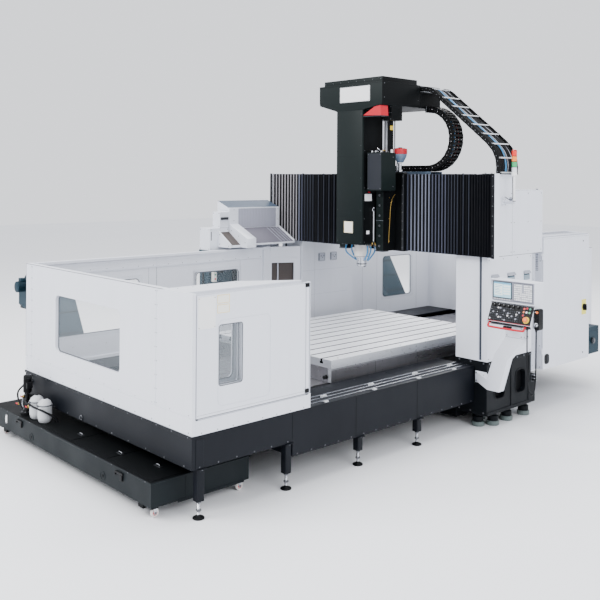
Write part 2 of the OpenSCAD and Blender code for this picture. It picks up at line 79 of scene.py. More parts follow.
def material(name, c1, c2=None, scale=3.0, rough=(0.4, 0.5), metal=0.0, bump=0.1, bscale=300.0, stretch=(1, 1, 1),
             grime=0.0, alpha=1.0, coat=0.0, emit=None, spec=0.5, wear=0.0, sheen=0.0, detail=3.0):
    m = bpy.data.materials.new(name)
    m.use_nodes = True
    t = m.node_tree
    n, l = t.nodes, t.links
    p = n["Principled BSDF"]
    c2 = c2 or tuple(max(0, v - 8) for v in c1)
    tc = n.new("ShaderNodeTexCoord")
    mp = n.new("ShaderNodeMapping")
    mp.inputs["Scale"].default_value = stretch
    l.new(tc.outputs["Object"], mp.inputs["Vector"])
    big = n.new("ShaderNodeTexNoise")
    big.inputs["Scale"].default_value = scale
    big.inputs["Detail"].default_value = detail
    l.new(mp.outputs["Vector"], big.inputs["Vector"])
    mix = n.new("ShaderNodeMix")
    mix.data_type = "RGBA"
    mix.inputs["A"].default_value = lin(c1)
    mix.inputs["B"].default_value = lin(c2)
    l.new(big.outputs["Fac"], mix.inputs["Factor"])
    colour = mix.outputs["Result"]
    if grime:
        # faint runs and dust, longer downwards
        mg = n.new("ShaderNodeMapping")
        mg.inputs["Scale"].default_value = (5, 5, 0.7)
        l.new(tc.outputs["Object"], mg.inputs["Vector"])
        ng = n.new("ShaderNodeTexNoise")
        ng.inputs["Scale"].default_value = 2.2
        ng.inputs["Detail"].default_value = 6
        l.new(mg.outputs["Vector"], ng.inputs["Vector"])
        rg = n.new("ShaderNodeMapRange")
        rg.inputs["From Min"].default_value = 0.5
        rg.inputs["From Max"].default_value = 0.8
        rg.inputs["To Max"].default_value = grime
        l.new(ng.outputs["Fac"], rg.inputs["Value"])
        m2 = n.new("ShaderNodeMix")
        m2.data_type = "RGBA"
        m2.inputs["B"].default_value = lin(tuple(v * 0.45 + 30 for v in c1))
        l.new(colour, m2.inputs["A"])
        l.new(rg.outputs["Result"], m2.inputs["Factor"])
        colour = m2.outputs["Result"]
    if wear:
        # small scuffs that catch the light
        nw = n.new("ShaderNodeTexNoise")
        nw.inputs["Scale"].default_value = 26
        nw.inputs["Detail"].default_value = 9
        nw.inputs["Roughness"].default_value = 0.75
        l.new(tc.outputs["Object"], nw.inputs["Vector"])
        rw = n.new("ShaderNodeMapRange")
        rw.inputs["From Min"].default_value = 0.63
        rw.inputs["From Max"].default_value = 0.75
        rw.inputs["To Max"].default_value = wear
        l.new(nw.outputs["Fac"], rw.inputs["Value"])
        m3 = n.new("ShaderNodeMix")
        m3.data_type = "RGBA"
        m3.inputs["B"].default_value = lin(tuple(min(255, v * 0.6 + 90) for v in c1))
        l.new(colour, m3.inputs["A"])
        l.new(rw.outputs["Result"], m3.inputs["Factor"])
        colour = m3.outputs["Result"]
    l.new(colour, p.inputs["Base Color"])
    rr = n.new("ShaderNodeMapRange")
    rr.inputs["From Min"].default_value = 0.3
    rr.inputs["From Max"].default_value = 0.7
    rr.inputs["To Min"].default_value = rough[0]
    rr.inputs["To Max"].default_value = rough[1]
    l.new(big.outputs["Fac"], rr.inputs["Value"])
    l.new(rr.outputs["Result"], p.inputs["Roughness"])
    if bump:
        fine = n.new("ShaderNodeTexNoise")
        fine.inputs["Scale"].default_value = bscale
        fine.inputs["Detail"].default_value = 2
        l.new(mp.outputs["Vector"], fine.inputs["Vector"])
        b = n.new("ShaderNodeBump")
        b.inputs["Strength"].default_value = bump
        b.inputs["Distance"].default_value = 0.002
        l.new(fine.outputs["Fac"], b.inputs["Height"])
        l.new(b.outputs["Normal"], p.inputs["Normal"])
    p.inputs["Metallic"].default_value = metal
    p.inputs["Specular IOR Level"].default_value = spec
    p.inputs["Alpha"].default_value = alpha
    if coat:
        p.inputs["Coat Weight"].default_value = coat
        p.inputs["Coat Roughness"].default_value = 0.15
    if sheen:
        p.inputs["Sheen Weight"].default_value = sheen
        p.inputs["Sheen Roughness"].default_value = 0.4
    if emit:
        p.inputs["Emission Color"].default_value = lin(emit[0])
        p.inputs["Emission Strength"].default_value = emit[1]
    mats[name] = m
    return m


material("white_paint", (224, 227, 235), (219, 222, 231), 1.3, (0.36, 0.46), bump=0.12, bscale=260, grime=0.05, coat=0.15)
material("panel_grey", (186, 190, 201), (178, 182, 194), 2, (0.4, 0.5), bump=0.1, grime=0.06)
material("black_paint", (13, 17, 24), (10, 13, 19), 1.6, (0.38, 0.5), bump=0.2, bscale=180, grime=0.06, wear=0.04, spec=0.14)
material("head_paint", (19, 27, 27), (16, 23, 23), 1.4, (0.4, 0.5), bump=0.08, bscale=200, wear=0.02, spec=0.12)
# near-black paint of the saddle and beam, also laid on the head's sides as painted shade
material("saddle_paint_and_head_shade", (8, 10, 12), (6, 8, 9), 1.4, (0.44, 0.54), bump=0.12, bscale=200, wear=0.01, spec=0.1)
material("slate_paint", (22, 48, 60), (18, 42, 53), 1.8, (0.42, 0.54), bump=0.15, bscale=200, grime=0.08, wear=0.02, spec=0.16)
# pale slate for the face under each vent hood: painted shade
material("vent_shade_slate", (122, 146, 158), (112, 137, 150), 2.0, (0.4, 0.5), bump=0.12, grime=0.08)
material("base_paint", (9, 13, 17), (7, 10, 14), 2.2, (0.42, 0.56), bump=0.25, bscale=90, grime=0.04, wear=0.01, spec=0.12)
material("gap_grey", (58, 62, 72), (48, 52, 61), 6.0, (0.5, 0.6), bump=0.1, spec=0.2)
material("box_grey", (33, 36, 43), (28, 31, 37), 2.0, (0.4, 0.5), bump=0.1, spec=0.2)
material("chute_floor", (104, 102, 113), (95, 93, 105), 3.0, (0.4, 0.5), bump=0.12)
material("chamfer_blue", (62, 78, 96), (56, 71, 89), 2.0, (0.4, 0.5), bump=0.1)
# light warm grey for crest strips of the bellows: painted highlight
material("pleat_w", (146, 143, 147), (132, 130, 134), 4.0, (0.4, 0.5), bump=0.2, bscale=420, spec=0.2)
material("foot_disc", (92, 103, 101), (82, 94, 93), 5, (0.45, 0.6), bump=0.2, bscale=120, grime=0.08)
material("shutter", (168, 167, 182), (158, 158, 174), 3.0, (0.4, 0.5), bump=0.12)
material("foot_paint", (76, 88, 88), (60, 72, 72), 5, (0.5, 0.65), bump=0.3, bscale=90, grime=0.15)
material("tank_paint", (19, 26, 29), (15, 20, 23), 2.6, (0.46, 0.6), bump=0.22, bscale=150, grime=0.05, wear=0.02, spec=0.14)
material("tank_top", (8, 10, 12), (6, 8, 10), 2.6, (0.5, 0.62), bump=0.2, bscale=150, wear=0.02, spec=0.1)
material("grey_paint", (196, 198, 200), (184, 186, 190), 4, (0.4, 0.5), bump=0.12, grime=0.12)
material("machined_steel", (214, 216, 220), (196, 199, 205), 2.0, (0.26, 0.38), metal=0.88, bump=0.16, bscale=60, stretch=(1, 14, 14),
         wear=0.08)
material("ground_top", (240, 241, 245), (228, 230, 236), 1.5, (0.36, 0.5), metal=0.3, bump=0.12, bscale=50, stretch=(16, 1, 16), wear=0.10)
material("cover_steel", (150, 148, 150), (118, 118, 124), 1.2, (0.24, 0.4), metal=0.9, bump=0.2, bscale=40, stretch=(12, 1, 12),
         grime=0.2, wear=0.1)
material("chrome_steel", (226, 228, 232), (212, 214, 219), 6, (0.12, 0.22), metal=1.0, bump=0.04, bscale=200)
material("dark_steel", (84, 86, 90), (62, 64, 68), 7, (0.3, 0.45), metal=0.9, bump=0.15, bscale=160)
material("bolt_steel", (120, 122, 126), (90, 92, 97), 12, (0.3, 0.45), metal=0.9, bump=0.1)
material("bellows_cloth", (9, 11, 17), (7, 8, 13), 4.0, (0.4, 0.5), bump=0.2, bscale=420, spec=0.18)
# lighter cloth tones for crest strips of the bellows, brightest first: painted highlights
material("pleat_1", (104, 109, 124), (94, 99, 114), 4.0, (0.4, 0.5), bump=0.2, bscale=420, spec=0.2)
material("pleat_2", (64, 68, 82), (56, 60, 74), 4.0, (0.4, 0.5), bump=0.2, bscale=420, spec=0.2)
material("pleat_3", (32, 36, 46), (27, 30, 40), 4.0, (0.4, 0.5), bump=0.2, bscale=420, spec=0.2)
material("chain_plastic", (9, 10, 12), (7, 8, 9), 6.0, (0.46, 0.58), bump=0.12, bscale=300, spec=0.12)
material("blue_plastic", (52, 138, 190), (40, 118, 172), 9.0, (0.3, 0.42), bump=0.1)
material("black_plastic", (14, 15, 17), (10, 11, 13), 9.0, (0.4, 0.52), bump=0.2, bscale=500, spec=0.15)
material("cord_rubber", (22, 23, 26), (17, 18, 20), 14.0, (0.5, 0.62), bump=0.22, bscale=300, spec=0.15)
material("wheel_plastic", (196, 38, 56), (170, 30, 46), 12.0, (0.4, 0.52), bump=0.1, grime=0.15)
material("wheel_white", (226, 222, 218), (208, 204, 200), 12.0, (0.4, 0.55), bump=0.1, grime=0.15)
material("pane", (226, 236, 242), (218, 230, 238), 2.0, (0.04, 0.09), bump=0, alpha=0.05, spec=0.3)
material("gasket", (84, 88, 96), (72, 76, 84), 20.0, (0.6, 0.75), bump=0.2)
material("seam", (120, 124, 134), (104, 108, 118), 6.0, (0.6, 0.7), bump=0.05)
material("dark_gap", (10, 11, 14), (8, 9, 11), 6.0, (0.6, 0.8), bump=0.1, spec=0.1)
material("red_paint", (196, 22, 44), (178, 16, 36), 5.0, (0.34, 0.44), bump=0.08, spec=0.3)
material("yellow_plate", (236, 200, 62), (228, 190, 50), 9.0, (0.4, 0.5), bump=0.05)
material("lemon_plate", (236, 226, 92), (230, 218, 84), 9.0, (0.4, 0.5), bump=0.05)
material("white_plate", (240, 240, 240), (232, 232, 233), 7.0, (0.35, 0.45), bump=0.05)
material("cream_plate", (238, 236, 226), (232, 230, 220), 9.0, (0.38, 0.48), bump=0.05)
material("orange_plastic", (232, 120, 48), (220, 104, 38), 9.0, (0.3, 0.4), bump=0.05)
material("green_plastic", (44, 150, 118), (34, 130, 100), 9.0, (0.3, 0.4), bump=0.05)
material("key_grey", (206, 204, 206), (196, 194, 197), 30.0, (0.42, 0.52), bump=0.1)
material("key_dark", (40, 42, 48), (34, 36, 41), 30.0, (0.46, 0.56), bump=0.1, spec=0.2)
material("bezel", (138, 140, 152), (128, 130, 142), 10.0, (0.4, 0.5), bump=0.15, bscale=500)
material("screen", (150, 196, 214), (168, 208, 222), 12.0, (0.12, 0.2), bump=0, emit=((150, 200, 220), 0.35))
material("screen_bar", (92, 156, 190), (82, 146, 182), 12.0, (0.12, 0.2), bump=0, emit=((92, 160, 200), 0.25))
material("screen_pale", (226, 238, 236), (214, 230, 230), 12.0, (0.12, 0.2), bump=0, emit=((220, 235, 235), 0.35))
material("lamp_red", (222, 52, 40), (206, 40, 32), 40.0, (0.15, 0.25), bump=0.05, emit=((230, 60, 40), 0.25))
material("lamp_amber", (238, 140, 60), (226, 122, 48), 40.0, (0.15, 0.25), bump=0.05, emit=((240, 140, 60), 0.25))
material("lamp_green", (60, 170, 110), (48, 150, 96), 40.0, (0.15, 0.25), bump=0.05, emit=((60, 180, 110), 0.2))
material("lamp_white", (232, 234, 238), (220, 222, 228), 40.0, (0.15, 0.25), bump=0.05)
material("hose_blue", (44, 128, 176), (34, 110, 160), 16.0, (0.35, 0.48), bump=0.15)
material("hose_red", (150, 48, 44), (126, 36, 34), 16.0, (0.35, 0.48), bump=0.15)
material("hose_grey", (150, 150, 156), (130, 130, 138), 16.0, (0.35, 0.48), bump=0.15)
material("brass", (196, 164, 92), (176, 144, 74), 16.0, (0.25, 0.38), metal=1.0, bump=0.1)
# brown for dark spaces seen through openings: painted shade
material("brown_painted_shade", (70, 60, 56), (54, 46, 43), 3.0, (0.5, 0.6), bump=0.2, grime=0.3)
material("bracket_blue", (98, 116, 138), (84, 102, 124), 3.0, (0.35, 0.45), bump=0.12)
material("louvre", (160, 164, 174), (150, 154, 165), 3.0, (0.4, 0.5), bump=0.12)

# ---------------------------------------------------------------- mesh helpers

AX = {"x": 0, "y": 1, "z": 2}


def place(axis, a, b, c):
    """A point with a along the axis and (b, c) in the plane that crosses it, in X, Y, Z order."""
    return {"x": (a, b, c), "y": (b, a, c), "z": (b, c, a)}[axis]


class Shape:
    def __init__(self):
        self.v, self.f, self.m, self.names = [], [], [], []
        self.t = None

    def add(self, verts, faces, mat):
        if mat not in self.names:
            self.names.append(mat)
        i, k = self.names.index(mat), len(self.v)
        if self.t is not None:
            verts = [tuple(self.t @ Vector(p)) for p in verts]
        self.v += [tuple(p) for p in verts]
        self.f += [tuple(k + j for j in f) for f in faces]
        self.m += [i] * len(faces)

    def box(self, mat, x0, x1, y0, y1, z0, z1, b=2.0):
        x0, x1 = sorted((x0, x1))
        y0, y1 = sorted((y0, y1))
        z0, z1 = sorted((z0, z1))
        b = min(b, (x1 - x0) * 0.3, (y1 - y0) * 0.3, (z1 - z0) * 0.3)
        c = ((x0, x1), (y0, y1), (z0, z1))
        verts, index = [], {}
        for sx in (0, 1):
            for sy in (0, 1):
                for sz in (0, 1):
                    s = (sx, sy, sz)
                    for a in range(3):
                        p = [c[k][s[k]] if k == a else c[k][s[k]] + (b if s[k] == 0 else -b) for k in range(3)]
                        index[(s, a)] = len(verts)
                        verts.append(tuple(p))
        faces = []
        for a in range(3):
            o, q = [(1, 2), (2, 0), (0, 1)][a]
            for s in (0, 1):
                loop = []
                for u, w in ((0, 0), (1, 0), (1, 1), (0, 1)):
                    k = [0, 0, 0]
                    k[a], k[o], k[q] = s, u, w
                    loop.append(index[(tuple(k), a)])
                faces.append(tuple(loop) if s else tuple(reversed(loop)))
        for a in range(3):
            o, q = [(1, 2), (2, 0), (0, 1)][a]
            for u in (0, 1):
                for w in (0, 1):
                    k0, k1 = [0, 0, 0], [0, 0, 0]
                    k0[a], k1[a] = 0, 1
                    k0[o] = k1[o] = u
                    k0[q] = k1[q] = w
                    loop = [index[(tuple(k0), o)], index[(tuple(k1), o)], index[(tuple(k1), q)], index[(tuple(k0), q)]]
                    faces.append(tuple(loop) if u == w else tuple(reversed(loop)))
        for s in [(i, j, k) for i in (0, 1) for j in (0, 1) for k in (0, 1)]:
            loop = [index[(s, 0)], index[(s, 1)], index[(s, 2)]]
            faces.append(tuple(loop) if sum(s) % 2 else tuple(reversed(loop)))
        self.add(verts, faces, mat)

    def prism(self, mat, axis, a0, a1, pts, b=2.0):
        """An outline drawn out along an axis, with chamfered ends. Outline points are (x, z) for y, (y, z) for x, (x, y) for z."""
        a0, a1 = sorted((a0, a1))
        area = sum(pts[i][0] * pts[(i + 1) % len(pts)][1] - pts[(i + 1) % len(pts)][0] * pts[i][1] for i in range(len(pts)))
        if area < 0:
            pts = pts[::-1]
        n = len(pts)
        inner = []
        for i in range(n):
            p, q, r = Vector(pts[i - 1]), Vector(pts[i]), Vector(pts[(i + 1) % n])
            d0, d1 = (q - p).normalized(), (r - q).normalized()
            n0, n1 = Vector((-d0.y, d0.x)), Vector((-d1.y, d1.x))
            k = max(0.3, 1 + n0.dot(n1))
            inner.append(q + (n0 + n1) / k * b)
        rings = [(a0, inner), (a0 + b, pts), (a1 - b, pts), (a1, inner)] if b else [(a0, pts), (a1, pts)]
        verts = [place(axis, a, p[0], p[1]) for a, ring in rings for p in ring]
        m = len(rings)
        flip = axis == "y"
        faces = []
        for k in range(m - 1):
            for i in range(n):
                j = (i + 1) % n
                faces.append((k * n + i, k * n + j, (k + 1) * n + j, (k + 1) * n + i))
        faces.append(tuple(reversed(range(n))))
        faces.append(tuple((m - 1) * n + i for i in range(n)))
        if flip:
            faces = [tuple(reversed(f)) for f in faces]
        self.add(verts, faces, mat)

    def lathe(self, mat, p, axis, prof, n=24):
        """A profile of (radius, height) turned round an axis that starts at p. An axis may be a vector."""
        d = Vector({"x": (1, 0, 0), "y": (0, 1, 0), "z": (0, 0, 1), "-x": (-1, 0, 0), "-y": (0, -1, 0), "-z": (0, 0, -1)}[axis]
                   if isinstance(axis, str) else axis).normalized()
        u = d.orthogonal().normalized()
        w = d.cross(u)
        base = Vector(p)
        verts, faces = [], []
        for r, h in prof:
            for k in range(n):
                a = 2 * math.pi * k / n
                verts.append(base + d * h + (u * math.cos(a) + w * math.sin(a)) * max(r, 0.01))
        for i in range(len(prof) - 1):
            for k in range(n):
                j = (k + 1) % n
                faces.append((i * n + k, i * n + j, (i + 1) * n + j, (i + 1) * n + k))
        faces.append(tuple(reversed(range(n))))
        faces.append(tuple((len(prof) - 1) * n + k for k in range(n)))
        self.add(verts, faces, mat)

    def cyl(self, mat, p, axis, r, h, n=24, b=1.5):
        b = min(b, r * 0.4, h * 0.3)
        self.lathe(mat, p, axis, [(r - b, 0), (r, b), (r, h - b), (r - b, h)], n)

    def bolt(self, p, axis, r=8, mat="bolt_steel"):
        self.lathe(mat, p, axis, [(r * 1.25, 0), (r * 1.25, r * 0.18), (r, r * 0.2), (r, r * 0.75), (r * 0.85, r * 0.9)], 6)

    def screw(self, p, axis, r=6, mat="bolt_steel"):
        self.lathe(mat, p, axis, [(r, 0), (r, r * 0.3), (r * 0.75, r * 0.6), (r * 0.42, r * 0.62), (r * 0.4, r * 0.25)], 10)

    def tube(self, mat, pts, r, n=12, radii=None):
        pts = [Vector(p) for p in pts]
        m = len(pts)
        dirs = [(pts[min(i + 1, m - 1)] - pts[max(i - 1, 0)]).normalized() for i in range(m)]
        u = dirs[0].orthogonal().normalized()
        verts, faces = [], []
        for i in range(m):
            u = (u - dirs[i] * u.dot(dirs[i])).normalized()
            w = dirs[i].cross(u)
            q = radii[i] if radii else r
            for k in range(n):
                a = 2 * math.pi * k / n
                verts.append(pts[i] + (u * math.cos(a) + w * math.sin(a)) * q)
        for i in range(m - 1):
            for k in range(n):
                j = (k + 1) % n
                faces.append((i * n + k, i * n + j, (i + 1) * n + j, (i + 1) * n + k))
        faces.append(tuple(reversed(range(n))))
        faces.append(tuple((m - 1) * n + k for k in range(n)))
        self.add(verts, faces, mat)

    def ring(self, mat, axis, a0, a1, u0, u1, v0, v1, r, w):
        """A rounded rectangular frame, w wide, between a0 and a1 along the axis."""
        def loop(e):
            out = []
            rr = max(r + e, 2)
            for cu, cv, s in ((u1 - r, v1 - r, 0), (u0 + r, v1 - r, 90), (u0 + r, v0 + r, 180), (u1 - r, v0 + r, 270)):
                for k in range(7):
                    t = math.radians(s + 15 * k)
                    out.append((cu + rr * math.cos(t), cv + rr * math.sin(t)))
            return out
        outer, inner = loop(w), loop(0)
        n = len(outer)
        verts = [place(axis, a, p[0], p[1]) for a, lp in ((a0, outer), (a1, outer), (a1, inner), (a0, inner)) for p in lp]
        faces = []
        for k in range(4):
            for i in range(n):
                j = (i + 1) % n
                kk = (k + 1) % 4
                faces.append((k * n + i, k * n + j, kk * n + j, kk * n + i))
        if (axis != "y") == (a1 < a0):
            faces = [tuple(reversed(f)) for f in faces]
        self.add(verts, faces, mat)

    def cad(self, node, mat, w=2.0, pick=None, keep=None, seg=1):
        """A CAD node's own mesh, its flat faces joined and its edges chamfered by w."""
        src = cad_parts[node]
        bm = bmesh.new()
        bm.from_mesh(src.data)
        bm.transform(Matrix.Scale(1000, 4) @ src.matrix_world)
        bmesh.ops.remove_doubles(bm, verts=bm.verts, dist=0.02)
        bmesh.ops.dissolve_limit(bm, angle_limit=math.radians(0.6), verts=bm.verts, edges=bm.edges)
        if w:
            edges = [e for e in bm.edges if len(e.link_faces) == 2 and e.calc_face_angle(0) > math.radians(38) and e.is_convex]
            if edges:
                bmesh.ops.bevel(bm, geom=edges, offset=w, segments=seg, affect="EDGES", clamp_overlap=True, profile=0.5)
        bm.faces.ensure_lookup_table()
        verts = [tuple(v.co) for v in bm.verts]
        bm.verts.index_update()
        groups = {}
        for f in bm.faces:
            c = f.calc_center_median()
            if keep and not keep(c):
                continue
            name = pick(c, f.normal) if pick else None
            groups.setdefault(name or mat, []).append(tuple(v.index for v in f.verts))
        bm.free()
        for name, faces in groups.items():
            self.add(verts, faces, name)

    def build(self, name, body, nodes=(), smooth=34, slot=None):
        me = bpy.data.meshes.new(name)
        me.from_pydata([(x / 1000, y / 1000, z / 1000) for x, y, z in self.v], [], self.f)
        for mat in self.names:
            me.materials.append(mats[mat])
        me.polygons.foreach_set("material_index", self.m)
        bm = bmesh.new()
        bm.from_mesh(me)
        loose = [v for v in bm.verts if not v.link_faces]
        bmesh.ops.delete(bm, geom=loose, context="VERTS")
        bm.to_mesh(me)
        bm.free()
        me.polygons.foreach_set("use_smooth", [True] * len(me.polygons))
        me.set_sharp_from_angle(angle=math.radians(smooth))
        me.update()
        ob = bpy.data.objects.new(name, me)
        scene.collection.objects.link(ob)
        if body:
            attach(ob, body)
        if nodes:
            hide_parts(*nodes)
        return ob


def rounded(pts, r, n=4):
    """The outline with its corners rounded."""
    out = []
    for i in range(len(pts)):
        p, q, s = Vector(pts[i - 1]), Vector(pts[i]), Vector(pts[(i + 1) % len(pts)])
        a, b = (p - q), (s - q)
        k = min(r, a.length * 0.45, b.length * 0.45)
        a, b = q + a.normalized() * k, q + b.normalized() * k
        for j in range(n + 1):
            t = j / n
            out.append(tuple((1 - t) ** 2 * a + 2 * t * (1 - t) * q + t * t * b))
    return out


def spline(pts, m):
    out, n = [], len(pts)
    pts = [Vector(p) for p in pts]
    for i in range(n - 1):
        p0, p1, p2, p3 = pts[max(i - 1, 0)], pts[i], pts[i + 1], pts[min(i + 2, n - 1)]
        for k in range(m):
            t = k / m
            out.append(0.5 * (2 * p1 + (p2 - p0) * t + (2 * p0 - 5 * p1 + 4 * p2 - p3) * t * t
                              + (3 * p1 - p0 - 3 * p2 + p3) * t ** 3))
    return out + [pts[-1]]


def evenly(pts, step):
    """Points along a line, step apart."""
    pts = [Vector(p) for p in pts]
    total = sum((b - a).length for a, b in zip(pts, pts[1:]))
    n = max(1, round(total / step))
    out, i, left = [pts[0]], 0, 0.0
    at = pts[0]
    for k in range(1, n):
        need = total / n
        while True:
            d = (pts[i + 1] - at).length
            if d >= need:
                at = at + (pts[i + 1] - at) * (need / d)
                break
            need -= d
            i += 1
            at = pts[i]
        out.append(at)
    return out + [pts[-1]]


def steps(a, b, n):
    return [a + (b - a) * i / (n - 1) for i in range(n)]

# ---------------------------------------------------------------- pendant cord

CORD = [(2674, -20, 1310), (2674, -20, 1200), (2673, -20, 1050), (2671, -19, 900), (2664, -16, 780), (2648, -9, 694),
        (2621, 2, 650), (2591, 14, 648), (2562, 26, 684), (2545, 34, 764), (2536, 38, 880), (2532, 40, 1000), (2530, 40, 1150), (2530, 40, 1308)]
line = spline(CORD, 8)
s = Shape()
s.tube("cord_rubber", line, 7, 14)
cord = s.build("pendant_cord_tube", "machine", ("pendant_cord",), slot="cord_rubber")

# ---------------------------------------------------------------- bed, trays and legs


def bed_mat(c, nrm):
    return "machined_steel" if c.z > 598 and abs(abs(c.x) - 560) < 70 else None


s = Shape()
s.cad("bed", "base_paint", 4, bed_mat)
for x in (-1, 1):
    for y in steps(-2760, 2760, 24):
        s.bolt((x * 690, y, 600), "z", 12)
for x in (-550, 550):
    for y in steps(-2700, 2700, 7):
        s.cyl("bolt_steel", (x * 1.38, y, 60), "z", 16, 70, 12)
s.build("Bed", "machine", ("bed",))

s = Shape()
s.cad("front_tray", "black_paint", 3)
for y in (-3601,):
    for x in steps(-1500, 1500, 11):
        s.screw((x, y, 452), "-y", 7)
for x in steps(-1560, 1560, 14):
    s.screw((x, -3608, 708), "-y", 6)
for x in (-1, 1):
    s.box("black_paint", x * 1609, x * 1613, -3560, -3480, 436, 690, 1)
    s.box("dark_gap", x * 1608.5, x * 1610.5, -2464, -2461, 440, 718, 0.3)
    for y in steps(-3520, -2520, 6):
        s.screw((x * 1609, y, 452), "x" if x > 0 else "-x", 7)
# drain with its plug, under the front
s.cyl("bolt_steel", (-300, -3600, 470), "-y", 26, 10, 20)
s.cyl("dark_steel", (-300, -3608, 470), "-y", 15, 14, 6)
# deck joints and strainer plates inside
for x in (-1, 1):
    s.box("dark_gap", x * 1102, x * 1590, -2700, -2697, 719, 720.6, 0.2)
    s.box("dark_steel", x * 900, x * 1040, -3100, -2960, 455, 461, 1)
    for i in range(8):
        s.box("dark_gap", x * (912 + i * 15), x * (918 + i * 15), -3090, -2970, 460, 461.8, 0.2)
s.build("FrontTray", "machine", ("front_tray",))


def gutter_details(s, k):
    # joints of the deck and the outer side, with their screws
    for y in (-1600, -640):
        s.box("dark_gap", k * 1122, k * 1608, y - 1.5, y + 1.5, 719.5, 720.8, 0.2)
        s.box("dark_gap", k * 1608.5, k * 1610.2, y - 2, y + 2, 305, 718, 0.3)
    for y in steps(-2400, 340, 16):
        s.screw((k * 1609, y, 318), "x" if k > 0 else "-x", 7)
    for y in steps(-2360, 320, 12):
        s.screw((k * 1148, y, 720), "z", 6)
    # stiffening ribs on the inner side
    for y in steps(-2300, 300, 9):
        s.box("black_paint", k * 1580, k * 1589, y - 4, y + 4, 322, 690, 1)
    s.box("dark_steel", k * 820, k * 980, -200, -40, 320, 326, 1)
    for i in range(8):
        s.box("dark_gap", k * (832 + i * 17), k * (840 + i * 17), -190, -50, 325.5, 327, 0.2)


def rail_mat(c, nrm):
    return "chrome_steel" if c.z > 721 else None


s = Shape()
s.cad("right_tray", "black_paint", 1.2, rail_mat)
gutter_details(s, 1)
# roller stops and their screws along the rails
for x in (1392, 1472, 1552):
    for y in steps(-2150, 330, 7):
        s.screw((x, y, 734), "z", 4.5)
for i, y in enumerate((-1890, -1190, -470, 160)):
    s.box("grey_paint", 1420, 1452, y - 34, y + 34, 720, 742, 3)
    s.cyl("chrome_steel", (1436, y - 18, 741), "z", 9, 6, 14)
    s.cyl("chrome_steel", (1436, y + 18, 741), "z", 9, 6, 14)
    s.box("grey_paint", 1566, 1596, y - 130, y - 84, 720, 734, 2)
s.build("RightTray", "machine", ("right_tray",))

s = Shape()
s.cad("left_tray", "black_paint", 3)
gutter_details(s, -1)
s.build("LeftTray", "machine", ("left_tray",))

s = Shape()
s.cad("rear_tray", "black_paint", 3)
for x in steps(-1560, 1340, 13):
    s.screw((x, 3600, 700), "y", 6)
    s.screw((x, 3600, 458), "y", 7)
for x, dx in ((-1609, "-x"), (1384, "x")):
    for y in steps(1660, 3520, 10):
        s.screw((x, y, 458), dx, 7)
    for y in (2100, 2850):
        s.box("dark_gap", x - 1, x + 1, y - 2, y + 2, 445, 716, 0.3)
s.cyl("bolt_steel", (300, 3600, 474), "y", 26, 10, 20)
s.cyl("dark_steel", (300, 3608, 474), "y", 15, 14, 6)
s.build("RearTray", "machine", ("rear_tray",))


def leg(s, x, y, z):
    s.prism("black_paint", "z", 150, z, rounded([(x - 36, y - 36), (x + 36, y - 36), (x + 36, y + 36), (x - 36, y + 36)], 9, 3), 2)
    s.box("black_paint", x - 62, x + 62, y - 44, y + 44, z - 9, z, 1.5)
    for i in (-1, 1):
        s.bolt((x + i * 50, y, z - 9), "-z", 7)
    prof = [(12, 0)]
    for i in range(30):
        prof += [(13, i * 4.2 + 1), (11.4, i * 4.2 + 3.1)]
    s.lathe("chrome_steel", (x, y, 22), "z", prof + [(13, 128)], 18)
    s.lathe("bolt_steel", (x, y, 132), "z", [(20, 0), (23, 2), (23, 16), (20, 18)], 6)
    s.lathe("bolt_steel", (x, y, 62), "z", [(20, 0), (23, 2), (23, 16), (20, 18)], 6)
    s.lathe("black_plastic", (x, y, 0), "z", [(50, 0), (52, 2), (52, 9), (46, 15), (26, 20), (17, 30), (14, 34)], 32)
    s.lathe("cord_rubber", (x, y, 0), "z", [(49, 0), (51, 0.5), (51, 3), (49, 3.2)], 32)


s = Shape()
for x, y, z in ((1565, -3495, 435), (1565, -2500, 435), (-1565, -2640, 435), (1565, -1526, 300), (1565, -590, 300),
                (-1565, -1526, 300), (-1565, -590, 300), (1340, 1760, 440), (420, 3450, 440), (-1565, 1760, 440), (-1565, 3450, 440)):
    leg(s, x, y, z)
s.build("TrayLegs", "machine", ("tray_legs",))

# ---------------------------------------------------------------- bridge


